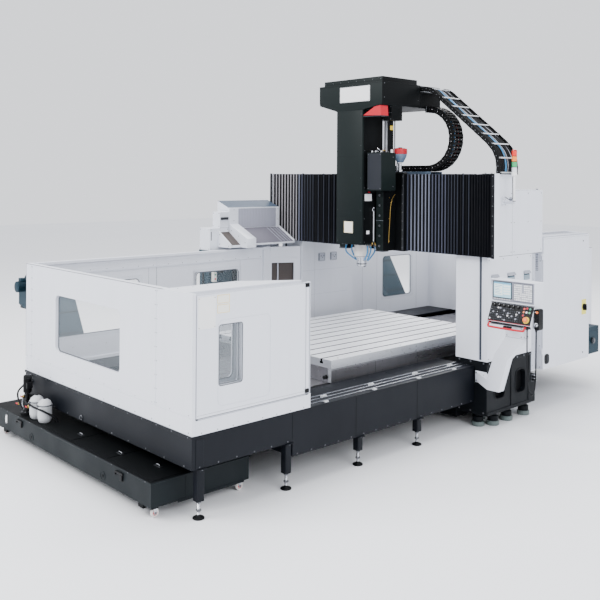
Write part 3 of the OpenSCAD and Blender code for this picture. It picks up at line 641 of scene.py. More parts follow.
def column(k, nodes):
    s = Shape()
    s.cad(nodes[0], "white_paint", 4)
    side, inner = ("x", "-x") if k > 0 else ("-x", "x")
    # front face: the dark gap beside the way cover's post
    s.box("gap_grey", k * 1682, k * 1714, 397.6, 400.5, 800, 1994, 0.3)
    s.box("white_paint", k * 1714, k * 1732, 392, 401, 800, 1994, 1.5)
    s.box("panel_grey", k * 1674, k * 1682, 394, 401, 800, 1994, 1.5)
    # three hooded vents in a row on the outer side; under each hood a dark strip and a pale slate face, both painted
    # shade, with slats on the face
    for y0, y1 in ((475, 617), (804, 965), (1157, 1294)):
        s.prism("louvre", "y", y0, y1, [(k * 1784, 1790), (k * 1806, 1768), (k * 1807, 1752), (k * 1784, 1752)], 2)
        s.box("dark_gap", k * 1784, k * 1786.5, y0 + 6, y1 - 6, 1738, 1754, 0.3)
        s.box("vent_shade_slate", k * 1784, k * 1792, y0 + 5, y1 - 5, 1676, 1738, 3)
        for i in range(3):
            s.box("louvre", k * 1791, k * 1794, y0 + 14, y1 - 14, 1686 + i * 17, 1693 + i * 17, 0.8)
    # seams of the side cover, its screws and the duct behind it
    s.box("dark_gap", k * 1784.2, k * 1785.8, 404, 1576, 1989, 1993, 0.3)
    s.box("seam", k * 1784.2, k * 1785.8, 909, 912, 1996, 2762, 0.3)
    s.box("seam", k * 1784.2, k * 1785.8, 404, 1336, 1240, 1243, 0.3)
    for z in (815, 1215, 1270, 1960):
        for y in (430, 720, 1020, 1310):
            s.screw((k * 1785, y, z), side, 6)
    for z in (2030, 2380, 2730):
        for y in (430, 880, 945, 1250, 1545):
            s.screw((k * 1785, y, z), side, 6)
    s.box("panel_grey", k * 1765, k * 1771, 1344, 1446, 540, 1985, 2)
    for z in steps(600, 1930, 6):
        s.screw((k * 1771, 1395, z), side, 5)
    # clamp of the lamp's pole
    s.lathe("louvre", (k * 1785, 860, 2660), side, [(26, 0), (26, 12), (20, 15), (20, 30), (15, 33)], 20)
    # top plates with capped lifting holes
    s.box("panel_grey", k * 1370, k * 1590, 425, 890, 2950, 2956, 2)
    s.box("panel_grey", k * 1370, k * 1762, 935, 1556, 2765, 2771, 2)
    for x, y, z in ((1400, 450, 2956), (1400, 860, 2956), (1395, 960, 2771), (1735, 960, 2771), (1395, 1530, 2771), (1735, 1530, 2771)):
        s.bolt((k * x, y, z), "z", 12)
    for x, y, z in ((1480, 650, 2950), (1565, 1250, 2765)):
        s.cyl("white_plate", (k * x, y, z + 5), "z", 22, 6, 20)
    # inner face: cover joints and two hollows with hooks
    for z in (1210, 1560):
        s.box("panel_grey", k * 1344.2, k * 1346, 405, 1336, z, z + 3, 0.3)
    s.box("panel_grey", k * 1344.2, k * 1346, 640, 643, 800, 1985, 0.3)
    for y in (716, 960):
        s.ring("louvre", "x", k * 1345, k * 1338, y, y + 124, 1690, 1800, 8, 6)
        s.box("panel_grey", k * 1344, k * 1345.6, y, y + 124, 1690, 1800, 0.3)
        # a dark strip along one side inside the hollow: painted shade
        s.box("dark_gap", k * 1343, k * 1345.2, y + 4, y + 18, 1700, 1796, 0.3)
        for j in range(3):
            s.cyl("bolt_steel", (k * 1345, y + 52 + j * 26, 1760 - (j % 2) * 22), inner, 7, 10, 12)
    for y in steps(440, 1300, 6):
        s.screw((k * 1345, y, 812), inner, 6)
    # back faces
    for z in (2200, 2560):
        s.box("seam", k * 1350, k * 1780, 1579.5, 1581, z, z + 3, 0.3)
    for i in range(9):
        s.prism("louvre", "x", k * 1420, k * 1700, [(1580, 2300 + i * 24), (1592, 2302 + i * 24), (1590, 2306 + i * 24), (1580, 2315 + i * 24)], 0.4)
    for x in (1375, 1755):
        for z in (2040, 2390, 2735):
            s.screw((k * x, 1580, z), "y", 7)
    for z in steps(600, 1930, 7):
        for x in (1372, 1742):
            s.screw((k * x, 1450, z), "y", 6)
    for z in (1000, 1500):
        s.box("seam", k * 1348, k * 1764, 1449.5, 1451, z, z + 3, 0.3)
    s.build(nodes[1], "machine", (nodes[0],))


column(1, ("right_column", "RightColumn"))
column(-1, ("left_column", "LeftColumn"))


def base_mat(c, nrm):
    return "foot_disc" if c.z < 51 else None


s = Shape()
s.cad("column_bases", "base_paint", 5, base_mat)
for k in (1, -1):
    side = "x" if k > 0 else "-x"
    for x, y in ((1590, 510), (1686, 670), (1680, 960), (1690, 1316), (1430, 760), (1430, 1300)):
        s.lathe("foot_disc", (k * x, y, 50), "z", [(72, 0), (72, 1.5), (66, 3), (40, 4)], 30)
        s.lathe("base_paint", (k * x, y, 51), "z", [(60, 0), (64, 3), (64, 60), (46, 70), (46, 108)], 24)
        prof = []
        for i in range(12):
            prof += [(35, 30 + i * 6.4), (32.5, 33 + i * 6.4)]
        s.lathe("dark_steel", (k * x, y, 50), "z", prof, 20)
    # flange along the foot and the top, with bolts
    s.box("base_paint", k * 1784, k * 1794, 402, 1336, 162, 200, 3)
    s.box("base_paint", k * 1784, k * 1792, 402, 1336, 745, 783, 3)
    for y in steps(440, 1300, 7):
        s.bolt((k * 1792, y, 764), side, 10)
    for y in (900, 1280):
        s.box("base_paint", k * 1784, k * 1793, y - 10, y + 10, 196, 748, 3)
    # inside of the hand holes
    for y in (560, 1000):
        s.ring("base_paint", "x", k * 1784, k * 1790, y, y + 200, 330, 600, 60, 12)
        s.box("dark_gap", k * 1725, k * 1727, y - 2, y + 202, 328, 602, 0.3)
    for x in (1400, 1560, 1740):
        s.bolt((k * x, 400, 764), "-y", 10)
        s.bolt((k * x, 400, 190), "-y", 10)
# connectors with their cables under the duct
s.box("dark_steel", 1660, 1786, 1345, 1426, 404, 500, 4)
for i, (y, z) in enumerate(((1368, 470), (1402, 470), (1368, 432), (1402, 432))):
    s.lathe("chrome_steel" if i % 2 else "black_plastic", (1786, y, z), "x", [(15, 0), (15, 12), (12, 14), (12, 24), (8, 26), (8, 40)], 16)
s.build("ColumnBases", "machine", ("column_bases",))


def beam_mat(c, nrm):
    return "machined_steel" if c.y < 401 and abs(nrm.x) < 0.5 else None


s = Shape()
s.cad("crossbeam", "saddle_paint_and_head_shade", 5, beam_mat)
for x in steps(-1800, 1800, 30):
    for z in (2190, 2800):
        s.cyl("bolt_steel", (x, 350, z), "-y", 9, 1.5, 12, 0.4)
# ball screw with its bearings, between the rails
prof = []
for i in range(120):
    prof += [(25, i * 30), (25, i * 30 + 18), (22, i * 30 + 22), (22, i * 30 + 27)]
s.lathe("chrome_steel", (-1800, 372, 2480), "x", prof, 14)
for x in (-1880, 1800):
    s.box("dark_steel", x, x + 80, 345, 400, 2420, 2540, 4)
# top: cable duct, hoses and lubrication line
s.box("dark_steel", -1300, 1300, 930, 1030, 2940, 2962, 3)
for x in steps(-1200, 1200, 9):
    s.screw((x, 980, 2962), "z", 7)
s.tube("hose_grey", spline([(-1300, 900, 2950), (-600, 900, 2950), (0, 905, 2950), (700, 900, 2950), (1300, 900, 2950)], 6), 8, 8)
s.tube("brass", spline([(-1300, 420, 2946), (0, 420, 2946), (1300, 420, 2946)], 4), 4, 8)
for x in (-1000, 1000):
    s.cyl("dark_steel", (x, 725, 2939), "z", 20, 12, 20)
# back: ribs and cover plates
for x in steps(-1200, 1200, 5):
    s.box("saddle_paint_and_head_shade", x - 190, x + 190, 1050, 1056, 2090, 2860, 4)
    for dx in (-170, 170):
        for z in (2120, 2475, 2830):
            s.bolt((x + dx, 1056, z), "y", 8)
s.build("CrossBeam", "machine", ("crossbeam",))


def bellows(name, x0, x1, sizes, node, lights):
    """Pleats from x0 at the column to x1 at the saddle; sizes run from the column to the saddle; lights gives each
    pleat a lighter crest strip as painted highlight, 0 for none.
    """
    s = Shape()
    total = sum(sizes)
    sign = 1 if x1 > x0 else -1
    x = x0
    front = [(x0, 332)]
    for w in sizes:
        w = w / total * abs(x1 - x0)
        front += [(x + sign * w * 0.06, 331), (x + sign * w * 0.40, 301), (x + sign * w * 0.46, 297.2), (x + sign * w * 0.54, 297.2),
                  (x + sign * w * 0.60, 301), (x + sign * w * 0.94, 331)]
        x += sign * w
        front.append((x, 332.5))
    back = [(px, py + 5) for px, py in front]
    pts = front + back[::-1]
    s.prism("bellows_cloth", "z", 2002, 2955, pts, 0)
    x = x0
    for i, w in enumerate(sizes):
        w = w / total * abs(x1 - x0)
        c = x + sign * w * 0.5
        # a lighter strip on the crest: painted highlight
        if lights[i]:
            s.box("pleat_%s" % lights[i], c - w * 0.16, c + w * 0.16, 295.6, 300, 2004, 2953, 0.4)
        x += sign * w
    ob = s.build(name, None, (node,), smooth=24, slot="bellows_cloth")
    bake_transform(ob)
    s = Shape()
    lo, hi = sorted((x0, x0 - sign * 38))
    s.box("white_paint", lo, hi, 300, 399, 1995, 2962, 2)
    s.box("bellows_cloth", lo, hi, 288, 301, 1995, 2962, 3)
    for z in steps(2030, 2930, 9):
        s.screw(((lo + hi) / 2, 288, z), "-y", 6)
    s.build(name + "Frame", "machine")


# wide pleats beside the saddle on the right and beside the column on the left, as the cloth hangs at rest; lighter
# crest strips are painted highlights, brightest beside the saddle on the right and beside the column on the left
bellows("RightBellows", 1905, 645, [32 + 22 * (i / 27) ** 1.6 for i in range(28)], "right_bellows",
        [0] * 8 + [3, 0, 3, 0, 3, 3, 3, 3, 2, 2, 2, 2, 2, 1, 1, 1, 1, 1, 1, 2])
bellows("LeftBellows", -1905, -355, [66 - 20 * (i / 27) for i in range(28)], "left_bellows",
        ["w"] * 9 + [1, 2, 3, 3, 3] + [3, 0] * 7)

# ---------------------------------------------------------------- guards


def window_trim(s, axis, face, u0, u1, v0, v1, r, out):
    """Rubber round an opening."""
    s.ring("gasket", axis, face, face + out * 5, u0, u1, v0, v1, r, 7)


s = Shape()
s.cad("front_wall", "white_paint", 1.5)
s.ring("gasket", "y", -3566, -3560, -880, 420, 1050, 1630, 50, 10)
for x in (-1463, 1053):
    for z in steps(900, 1890, 9):
        for dx in (-14, 14):
            s.screw((x + dx, -3600, z), "-y", 4)
for x in steps(-1560, 1560, 12):
    s.screw((x, -3600, 892), "-y", 4)
    s.screw((x, -3600, 745), "-y", 5)
# folded top edge
s.box("white_paint", -1609, 1160, -3600, -3540, 1912, 1921, 1.5)
s.box("seam", -1606, -1603, -3601, -3599, 880, 1915, 0.3)
s.build("FrontWall", "machine", ("front_wall",))

s = Shape()
s.cad("left_wall", "white_paint", 1.5)
for y0, y1, z0, z1 in ((-3300, -2150, 1040, 1640), (-1300, -580, 1040, 1650)):
    s.ring("gasket", "x", -1575, -1571, y0 + 10, y1 - 10, z0 + 10, z1 - 10, 50, 10)
s.ring("gasket", "x", -1576, -1571, 88, 347, 1413, 1697, 10, 6)
# inner ledge, folds and screws
s.box("white_paint", -1573, -1562, -3560, -160, 1762, 1768, 1)
s.box("white_paint", -1573, -1558, -3560, -160, 722, 760, 2)
for y in steps(-3480, -200, 16):
    s.screw((-1573, y, 1790), "x", 5)
    s.screw((-1573, y, 900), "x", 5)
    s.screw((-1609, y, 760), "-x", 5)
    s.screw((-1609, y, 1880), "-x", 5)
for y in (-1905, -560, -2020):
    s.box("seam", -1573.4, -1572, y - 1.5, y + 1.5, 765, 1762, 0.3)
    s.box("seam", -1610, -1608.6, y - 1.5, y + 1.5, 722, 1915, 0.3)
# the slanted end towards the column: fold, folded edges and the tool gate, with a brown box behind it as painted shade
# of the dark space there
s.t = Matrix.Translation((-1573, -40, 0)) @ Matrix.Rotation(math.radians(-27.3), 4, "Z")
s.box("white_paint", 0, 8, 10, 462, 1762, 1768, 1)
s.box("white_paint", 0, 12, 0, 462, 722, 760, 2)
s.box("white_paint", 0, 5, 2, 30, 760, 1918, 1)
s.ring("gasket", "x", 0, 2, 45, 361, 1413, 1687, 10, 4)
s.box("brown_painted_shade", -60, -44, 20, 388, 1390, 1712, 1)
s.box("white_paint", -60, -28, 14, 24, 1390, 1712, 1)
s.box("white_paint", -60, -28, 384, 394, 1390, 1712, 1)
s.box("panel_grey", -40, -22, 128, 146, 1408, 1692, 1)
s.box("red_paint", -30, -14, 170, 290, 1411, 1424, 2)
s.t = None
s.build("LeftWall", "machine", ("left_wall",))

s = Shape()
s.cad("operator_wall", "white_paint", 1.5)
s.ring("gasket", "x", 1189, 1195, -3290, -2850, 1040, 1630, 50, 10)
for y in steps(-3500, -2320, 8):
    s.screw((1609, y, 735), "x", 5)
for y in steps(-3500, -2850, 5):
    s.screw((1240, y, 1920), "z", 5)
    s.screw((1190, y, 1860), "x", 5)
    s.screw((1160, y, 760), "-x", 5)
s.tube("seam", [(1172, -2766, 1770), (1484, -2271, 1770)], 2, 6)
s.box("seam", 1500, 1609.6, -3559, -2262, 846.5, 849.5, 0.4)
s.box("panel_grey", 1609, 1612, -3540, -2300, 850, 858, 0.6)
# hanging rail of the leaves
s.box("dark_steel", 1440, 1500, -3560, -2264, 1862, 1889, 2)
s.build("OperatorWall", "machine", ("operator_wall",))

for node, name in (("rear_wall", "RearWall"), ("rear_side_walls", "RearSideWalls")):
    s = Shape()
    s.cad(node, "white_paint", 1.5)
    if node == "rear_wall":
        s.ring("gasket", "y", 3566, 3560, -880, 420, 1050, 1630, 50, 10)
        for x in (-1200, -950, 480, 1100):
            s.box("seam", x, x + 3, 3599, 3600.8, 722, 1915, 0.3)
        for x in steps(-1560, 1340, 12):
            s.screw((x, 3600, 745), "y", 5)
            s.screw((x, 3600, 1890), "y", 5)
        s.box("white_paint", -1609, 1384, 3540, 3600, 1912, 1921, 1.5)
    else:
        for x, k, a, b in ((-1609, 1, 2390, 3080), (1384, -1, 2910, 3370)):
            s.ring("gasket", "x", x + k * 34, x + k * 39, a, b, 990, 1630, 50, 10)
            for y in (1900, 2240, 3230):
                s.box("seam", x - k * 1, x + k * 0.5, y, y + 3, 722, 1915, 0.3)
                s.box("seam", x + k * 35.6, x + k * 36.8, y, y + 3, 722, 1915, 0.3)
            for y in steps(1650, 3520, 11):
                for z in (745, 1890):
                    s.screw((x, y, z), "-x" if k > 0 else "x", 5)
            s.box("white_paint", x, x + k * 36, 1606, 3564, 1912, 1921, 1.5)
            s.box("panel_grey", x + k * 36, x + k * 41, 1610, 3560, 1764, 1771, 1)
    s.build(name, "machine", (node,))

s = Shape()
s.cad("window_panes", "pane", 0.8)
s.build("WindowPanes", "machine", ("window_panes",))


def leaf(s, x0, x1):
    s.ring("gasket", "x", x1 - 2, x1 + 1.2, -3319, -3066, 1106, 1624, 20, 7)
    s.box("pane", x0 + 12, x0 + 16, -3330, -3055, 1095, 1635, 0.5)
    for y in (-3400, -2500):
        s.cyl("dark_steel", (x0 - 5.5, y - 34, 880), "-x", 12, 0.8, 16, 0.2)
    s.box("panel_grey", x0 + 2, x1 - 2, -3550, -2304, 1898, 1903, 1)
    s.box("seam", x1 - 0.6, x1 + 0.6, -3550, -2306, 884, 886, 0.2)


s = Shape()
s.cad("outer_door", "white_paint", 1.2)
leaf(s, 1573, 1609)
# closing post: black end clips, bright edge and grey grip bar
s.box("black_plastic", 1592, 1622, -2308, -2262, 1868, 1906, 4)
s.box("black_plastic", 1592, 1622, -2308, -2262, 868, 906, 4)
s.box("white_paint", 1609, 1614, -2298, -2266, 908, 1866, 1.5)
s.box("gasket", 1586, 1612, -2246, -2241, 870, 1912, 1.5)
s.box("louvre", 1608, 1617, -2262, -2250, 872, 1908, 1.5)
s.box("seam", 1608.7, 1610, -2302, -2299, 868, 1905, 0.3)
# bare plate and two blank plates beside it
s.box("white_plate", 1608.5, 1611.5, -3545, -3361, 1612, 1884, 1)
for y, z in ((-3536, 1624), (-3370, 1624), (-3536, 1872), (-3370, 1872)):
    s.screw((1611.3, y, z), "x", 4)
for z in (1728, 1812):
    s.box("cream_plate", 1608.5, 1610.6, -3346, -3208, z, z + 78, 0.8)
    s.ring("yellow_plate", "x", 1610.4, 1611, -3340, -3214, z + 6, z + 72, 2, 3)
s.build("OuterDoor", "outer_door", ("outer_door",))

s = Shape()
s.cad("inner_door", "white_paint", 1.2)
leaf(s, 1518, 1552)
s.build("InnerDoor", "inner_door", ("inner_door",))

# ---------------------------------------------------------------- tool magazine


def mag_mat(c, nrm):
    if nrm.z > 0.6 and c.z > 2470:
        return "chamfer_blue"
    return None


s = Shape()
s.cad("tool_magazine", "white_paint", 3, mag_mat)
# ribbed shutter on the side that faces the spindle, in a white frame
s.box("shutter", -1720, -1714, -484, 208, 2200, 2476, 2)
for y in steps(-460, 184, 24):
    s.box("louvre", -1715, -1711, y - 5, y + 5, 2204, 2470, 1.2)
s.box("white_paint", -1720, -1709, -645, -486, 1910, 2478, 3)
s.box("white_paint", -1720, -1709, 210, 272, 1910, 2478, 3)
s.box("white_paint", -1720, -1711, -486, 210, 2464, 2480, 2)
for z in (1940, 2120, 2300, 2450):
    s.screw((-1709, -566, z), "x", 6)
    s.screw((-1709, 241, z), "x", 6)
# the smaller boxes: handle with its studs, joints and a slot
s.box("dark_steel", -1720, -1704, -790, -660, 2316, 2352, 4)
for y in steps(-768, -682, 4):
    s.cyl("bolt_steel", (-1704, y, 2334), "x", 6, 4, 10, 0.6)
s.box("seam", -1720.6, -1719.4, -800, -646, 2206, 2209, 0.3)
s.box("dark_gap", -1721, -1718.6, -950, -938, 2040, 2160, 0.3)
for y in (-950, -670):
    for z in (1926, 2186):
        s.screw((-1720, y, z), "x", 6)
for x in (-1935, -1740):
    for z in (1926, 2186):
        s.screw((x, -968, z), "-y", 6)
for x in (-1870, -1740):
    for z in (2230, 2404):
        s.screw((x, -800, z), "-y", 6)
s.box("panel_grey", -1900, -1740, -648, -644.5, 2440, 2446, 0.5)
# drum housing: rim, vents and doors with latches on the outer side
s.box("white_paint", -2424, -1990, -262, 266, 2496, 2508, 4)
for x in steps(-2390, -2020, 4):
    for y in (-240, 240):
        s.screw((x, y, 2508), "z", 6)
for y0, y1 in ((-258, -6), (6, 262)):
    s.box("white_paint", -2426, -2419, y0, y1, 1930, 2470, 3)
    s.box("black_plastic", -2438, -2426, y1 - 50, y1 - 26, 2160, 2230, 3)
    for i in range(7):
        s.prism("louvre", "y", y0 + 40, y1 - 70, [(-2426, 2340 + i * 14), (-2432, 2336 + i * 14), (-2432, 2333 + i * 14), (-2426, 2333 + i * 14)], 0.3)
for x in steps(-2380, -2010, 5):
    for z in (1930, 2476):
        s.screw((x, 273, z), "y", 6)
s.box("seam", -2200, -2197, 272, 274, 1910, 2496, 0.3)
s.build("ToolMagazine", "machine", ("tool_magazine",))

s = Shape()
# up-facing faces between y -812 and -646 take the brown as painted shade
s.cad("magazine_chute", "white_paint", 1.5, lambda c, nrm: "chute_floor" if -486 < c.y < 255 and nrm.z > 0.5 else "brown_painted_shade" if -812 < c.y < -646 and nrm.z > 0.5 else None)
for y in (30, 90, 150, 200):
    s.prism("panel_grey", "y", y, y + 4, [(-1716, 2190.3), (-1716, 2193.5), (-1380, 2005.5), (-1380, 2002)], 0.4)
for x, z in ((-1660, 2170), (-1500, 2100), (-1360, 2020)):
    s.screw((x, -645, z), "-y", 6)
for x, z in ((-1680, 1990), (-1680, 2120), (-1480, 1975)):
    s.screw((x, -832, z), "-y", 6)
s.build("MagazineChute", "machine", ("magazine_chute",))

s = Shape()
s.cad("magazine_stand", "slate_paint", 5)
# cover plates, a pale switch box and a dark bracket, seen through the guard's window
for y0, y1 in ((-930, -580), (-490, 240)):
    s.box("slate_paint", -1744, -1736, y0, y1, 90, 1850, 3)
    for y in (y0 + 24, y1 - 24):
        for z in (120, 900, 1820):
            s.screw((-1736, y, z), "x", 7)
s.box("base_paint", -1742, -1730, -568, -502, 60, 1866, 3)
s.box("cream_plate", -1740, -1690, -925, -868, 1480, 1610, 4)
s.cyl("green_plastic", (-1690, -896, 1578), "x", 12, 8, 16)
s.cyl("red_paint", (-1690, -896, 1520), "x", 12, 10, 16)
s.prism("black_plastic", "x", -1736, -1712, [(-830, 1640), (-720, 1640), (-745, 1590), (-805, 1590)], 3)
for x, y in ((-1900, -920), (-1790, -920), (-2350, 200), (-1790, 200), (-2350, -210)):
    s.lathe("black_plastic", (x, y, 0), "z", [(52, 0), (54, 2), (54, 10), (42, 18)], 24)
    s.lathe("bolt_steel", (x, y, 18), "z", [(44, 0), (46, 2), (46, 16), (42, 18)], 6)
s.tube("cord_rubber", spline([(-1850, -974, 1850), (-1850, -990, 1300), (-1850, -986, 900), (-1850, -970, 700)], 6), 11, 10)
for z in (800, 1250, 1600):
    s.box("dark_steel", -1872, -1828, -984, -966, z, z + 18, 2)
s.build("MagazineStand", "machine", ("magazine_stand",))

# ---------------------------------------------------------------- chip conveyors


def conveyor(node, name, y0, y1):
    s = Shape()
    s.cad(node, "slate_paint", 4, keep=lambda c: not (-2420 < c.x < -2240 and y0 - 160 < c.y < y0 and c.z > 1470))
    # side covers follow the slope, with bolts along them
    out = [(-1830, 470), (-2392, 1300), (-2420, 1300), (-2585, 1330), (-2585, 1515), (-2360, 1700), (-2190, 1700), (-1660, 800), (-1640, 700),
           (-1640, 470)]
    for y, e in ((y0, -3), (y1, 3)):
        s.prism("slate_paint", "y", y, y + e, [(x * 0.985 - 30, z * 0.99 + 12) for x, z in out], 1)
        for a, b in zip(out, out[1:] + out[:1]):
            n = max(1, int((Vector(b) - Vector(a)).length / 130))
            for i in range(n):
                t = (i + 0.5) / n
                x, z = a[0] + (b[0] - a[0]) * t, a[1] + (b[1] - a[1]) * t
                s.bolt((x * 0.975 - 50, y + e, z * 0.975 + 30), "-y" if e < 0 else "y", 7)
    # motor with fins and its gear box
    c = Vector((-2330, y0 - 3, 1560))
    s.lathe("slate_paint", c, "-y", [(60, 0), (74, 4), (74, 36), (66, 40)], 28)
    fins = [(60, 40)]
    for i in range(10):
        fins += [(60, 42 + i * 9), (68, 43 + i * 9), (68, 47 + i * 9), (60, 48 + i * 9)]
    s.lathe("slate_paint", c, "-y", fins + [(66, 134), (66, 144), (52, 149)], 28)
    s.box("slate_paint", -2365, -2295, y0 - 110, y0 - 50, 1622, 1664, 4)
    # mouth of the chute with a rubber lip, and control box on the outer side
    s.box("cord_rubber", -2596, -2442, y0 + 20, y1 - 20, 1262, 1300, 2)
    s.box("grey_paint", -2300, -2180, y1 + 3, y1 + 60, 1330, 1490, 5)
    s.cyl("red_paint", (-2270, y1 + 60, 1440), "y", 18, 14, 18)
    s.cyl("green_plastic", (-2215, y1 + 60, 1440), "y", 12, 8, 16)
    # seams across the upper cover
    for t in (0.25, 0.5, 0.75):
        x, z = -2180 + 540 * t, 1725 - 925 * t
        s.prism("base_paint", "y", y0 + 6, y1 - 6, [(x - 4, z + 5), (x + 4, z - 9), (x + 8, z - 6), (x, z + 8)], 0.4)
    for x in (-2260,):
        for y in (y0 + 50, y1 - 50):
            for dx in (-50, 50):
                s.bolt((x + dx, y, 10), "z", 9)
    return s


s = conveyor("front_conveyor", "FrontConveyor", -3250, -2800)
s.build("FrontConveyor", "machine", ("front_conveyor",))
s = conveyor("rear_conveyor", "RearConveyor", 2700, 3150)
for y in (3040, 3360):
    for z in (500, 800):
        s.bolt((1600, y, z), "x", 8)
s.box("slate_paint", 1598, 1604, 3060, 3340, 520, 780, 2)
s.cyl("dark_steel", (1604, 3200, 650), "x", 42, 30, 24)
s.cyl("bolt_steel", (1634, 3200, 650), "x", 22, 10, 6)
s.build("RearConveyor", "machine", ("rear_conveyor",))

# ---------------------------------------------------------------- cabinet

s = Shape()
s.cad("electrical_cabinet", "white_paint", 3)
# sloping roof with a dark edge under it, a grille on top, sides with vents
s.prism("panel_grey", "y", 1606, 2770, [(1458, 2200), (1458, 2172), (1764, 2171.5), (1764, 2178)], 2)
for i in range(12):
    s.box("louvre", 1510 + i * 18, 1517 + i * 18, 1760, 2620, 2186 - i * 1.2, 2200 - i * 1.7, 0.6)
for i in range(10):
    s.prism("louvre", "x", 1510, 1710, [(1612, 1960 - i * 22), (1604, 1956 - i * 22), (1604, 1952 - i * 22), (1612, 1946 - i * 22)], 0.4)
    s.prism("louvre", "x", 1510, 1710, [(2764, 1020 - i * 22), (2774, 1016 - i * 22), (2774, 1012 - i * 22), (2764, 1006 - i * 22)], 0.4)
for x in (1484, 1738):
    for z in steps(540, 2140, 7):
        s.screw((x, 2764, z), "y", 6)
        s.screw((x, 1612, z), "-y", 6)
s.box("seam", 1463.3, 1465, 2190, 2193, 515, 2166, 0.3)
for y in (1640, 2160, 2222, 2736):
    for z in (560, 1340, 2120):
        s.screw((1464, y, z), "-x", 6)
# switchgear on the mounting plate, seen with the door open
s.box("grey_paint", 1492, 1498, 1710, 2650, 630, 2050, 1)
for j, z in enumerate((800, 1070, 1340, 1610, 1870)):
    s.box("dark_steel", 1498, 1506, 1725, 2635, z - 8, z + 26, 1)
    for i in range(13):
        y = 1740 + i * 68
        mat = ("black_plastic", "grey_paint", "white_plate", "key_dark")[(i * 3 + j * 2) % 4]
        s.box(mat, 1506, 1506 + (80, 110, 60)[(i + j) % 3], y, y + 58, z - 62, z + 70, 3)
        s.box("key_grey", 1506, 1522 + (80, 110, 60)[(i + j) % 3], y + 14, y + 42, z - 14, z + 20, 2)
for z in (700, 940, 1206, 1476, 1742):
    s.box("louvre", 1498, 1552, 1720, 2640, z - 20, z + 10, 2)
    for i in range(44):
        s.box("dark_gap", 1550, 1553, 1734 + i * 20, 1742 + i * 20, z - 14, z + 4, 0.2)
# door's seal round the opening
s.ring("cord_rubber", "x", 1756, 1760, 1632, 2744, 530, 2151, 12, 8)
# cable glands under the cabinet
for i in range(5):
    s.lathe("black_plastic", (1610, 1800 + i * 84, 510), "-z", [(26, 0), (26, 12), (20, 14), (20, 30), (14, 34)], 14)
s.build("ElectricalCabinet", "machine", ("electrical_cabinet",))

s = Shape()
s.cad("cabinet_door", "white_paint", 4)
# folded edge on the inside, stiffeners, latch and small screws
s.ring("panel_grey", "x", 1751, 1762, 1660, 2716, 560, 2122, 10, 4)
for z in (860, 1760):
    s.box("panel_grey", 1752, 1762, 1664, 2712, z, z + 34, 2)
s.prism("black_plastic", "x", 1784, 1793, rounded([(1640, 575), (1749, 575), (1749, 702), (1640, 702)], 46, 8), 3)
s.box("key_dark", 1792, 1797, 1686, 1703, 596, 682, 2)
s.cyl("black_plastic", (1785, 2600, 2083), "x", 9, 5, 16)
s.cyl("black_plastic", (1785, 2600, 600), "x", 9, 5, 16)
s.box("seam", 1784.3, 1785.6, 1622, 2754, 2150, 2152, 0.2)
# plain plate behind the switch
s.box("lemon_plate", 1784.5, 1787, 2566, 2686, 1102, 1302, 1)
for y in (2576, 2676):
    for z in (1112, 1292):
        s.screw((1787, y, z), "x", 4)
s.build("CabinetDoor", "cabinet_door", ("cabinet_door",))

s = Shape()
s.lathe("black_plastic", (1787, 2626, 1200), "x", [(43, 0), (44, 2), (44, 9), (40, 14), (27, 14.5), (26, 22)], 32)
s.prism("black_plastic", "x", 1808, 1827, rounded([(2616, 1158), (2636, 1158), (2636, 1242), (2616, 1242)], 7, 4), 2)
s.box("white_plate", 1826.4, 1827.6, 2624.5, 2627.5, 1220, 1236, 0.3)
s.build("DisconnectSwitch", "disconnect_switch", ("disconnect_switch",))

# ---------------------------------------------------------------- console

s = Shape()
s.cad("console_arm", "white_paint", 5)
# collar's joints and screws, mounting flange on the base, cover joints
s.box("panel_grey", 2284, 2511, -6, 126, 1328, 1337, 3)
s.box("seam", 2289, 2506, -0.8, 0.6, 1210, 1213, 0.3)
s.box("seam", 2505.2, 2506, 2, 118, 1210, 1213, 0.3)
for x in (2310, 2485):
    for z in (1230, 1315):
        s.screw((x, 0, z), "-y", 6)
for y in (24, 96):
    for z in (1230, 1315):
        s.screw((2505, y, z), "x", 6)
s.box("white_paint", 1632, 1788, 388, 400, 536, 668, 4)
for x in (1650, 1770):
    for z in (556, 648):
        s.bolt((x, 388, z), "-y", 9)
for x, y in ((1800, 310), (1900, 250), (2040, 200)):
    s.screw((x, y, 655), "z", 7)
s.build("ConsoleArm", "machine", ("console_arm",))

s = Shape()
s.cad("console", "white_paint", 6, lambda c, nrm: "black_plastic" if c.z < 1337.5 and 2510 < c.x < 2550 and 20 < c.y < 60 else None,
      keep=lambda c: not (c.y < -66 and c.z < 1349))
s.lathe("black_plastic", (2530, 40, 1338), "-z", [(22, 0), (22, 10), (17, 12), (17, 22), (13, 26), (10, 30)], 16)
# screen half
s.box("bezel", 2126, 2634, -10, 1, 1590, 1806, 4)
s.box("white_paint", 2119, 2641, -6, 1, 1572, 1588, 3)
s.box("key_dark", 2142, 2376, -14, -8, 1618, 1796, 2)
s.box("screen", 2152, 2366, -15.5, -13, 1628, 1788, 1)
s.box("screen_bar", 2154, 2364, -16, -15, 1774, 1786, 0.3)
s.box("screen_pale", 2160, 2262, -16, -15, 1650, 1768, 0.3)
for i in range(6):
    s.box("screen_bar", 2168, 2254 - (i * 17) % 40, -16.4, -15.8, 1752 - i * 17, 1757 - i * 17, 0.1)
for i in range(4):
    s.box("screen_pale", 2272, 2358, -16, -15, 1742 - i * 27, 1762 - i * 27, 0.3)
for i in range(7):
    s.box("key_grey", 2156 + i * 30, 2178 + i * 30, -16, -13, 1604, 1614, 0.8)
s.box("key_dark", 2396, 2626, -13, -8, 1604, 1796, 2)
s.box("louvre", 2400, 2622, -14, -12, 1608, 1792, 1)
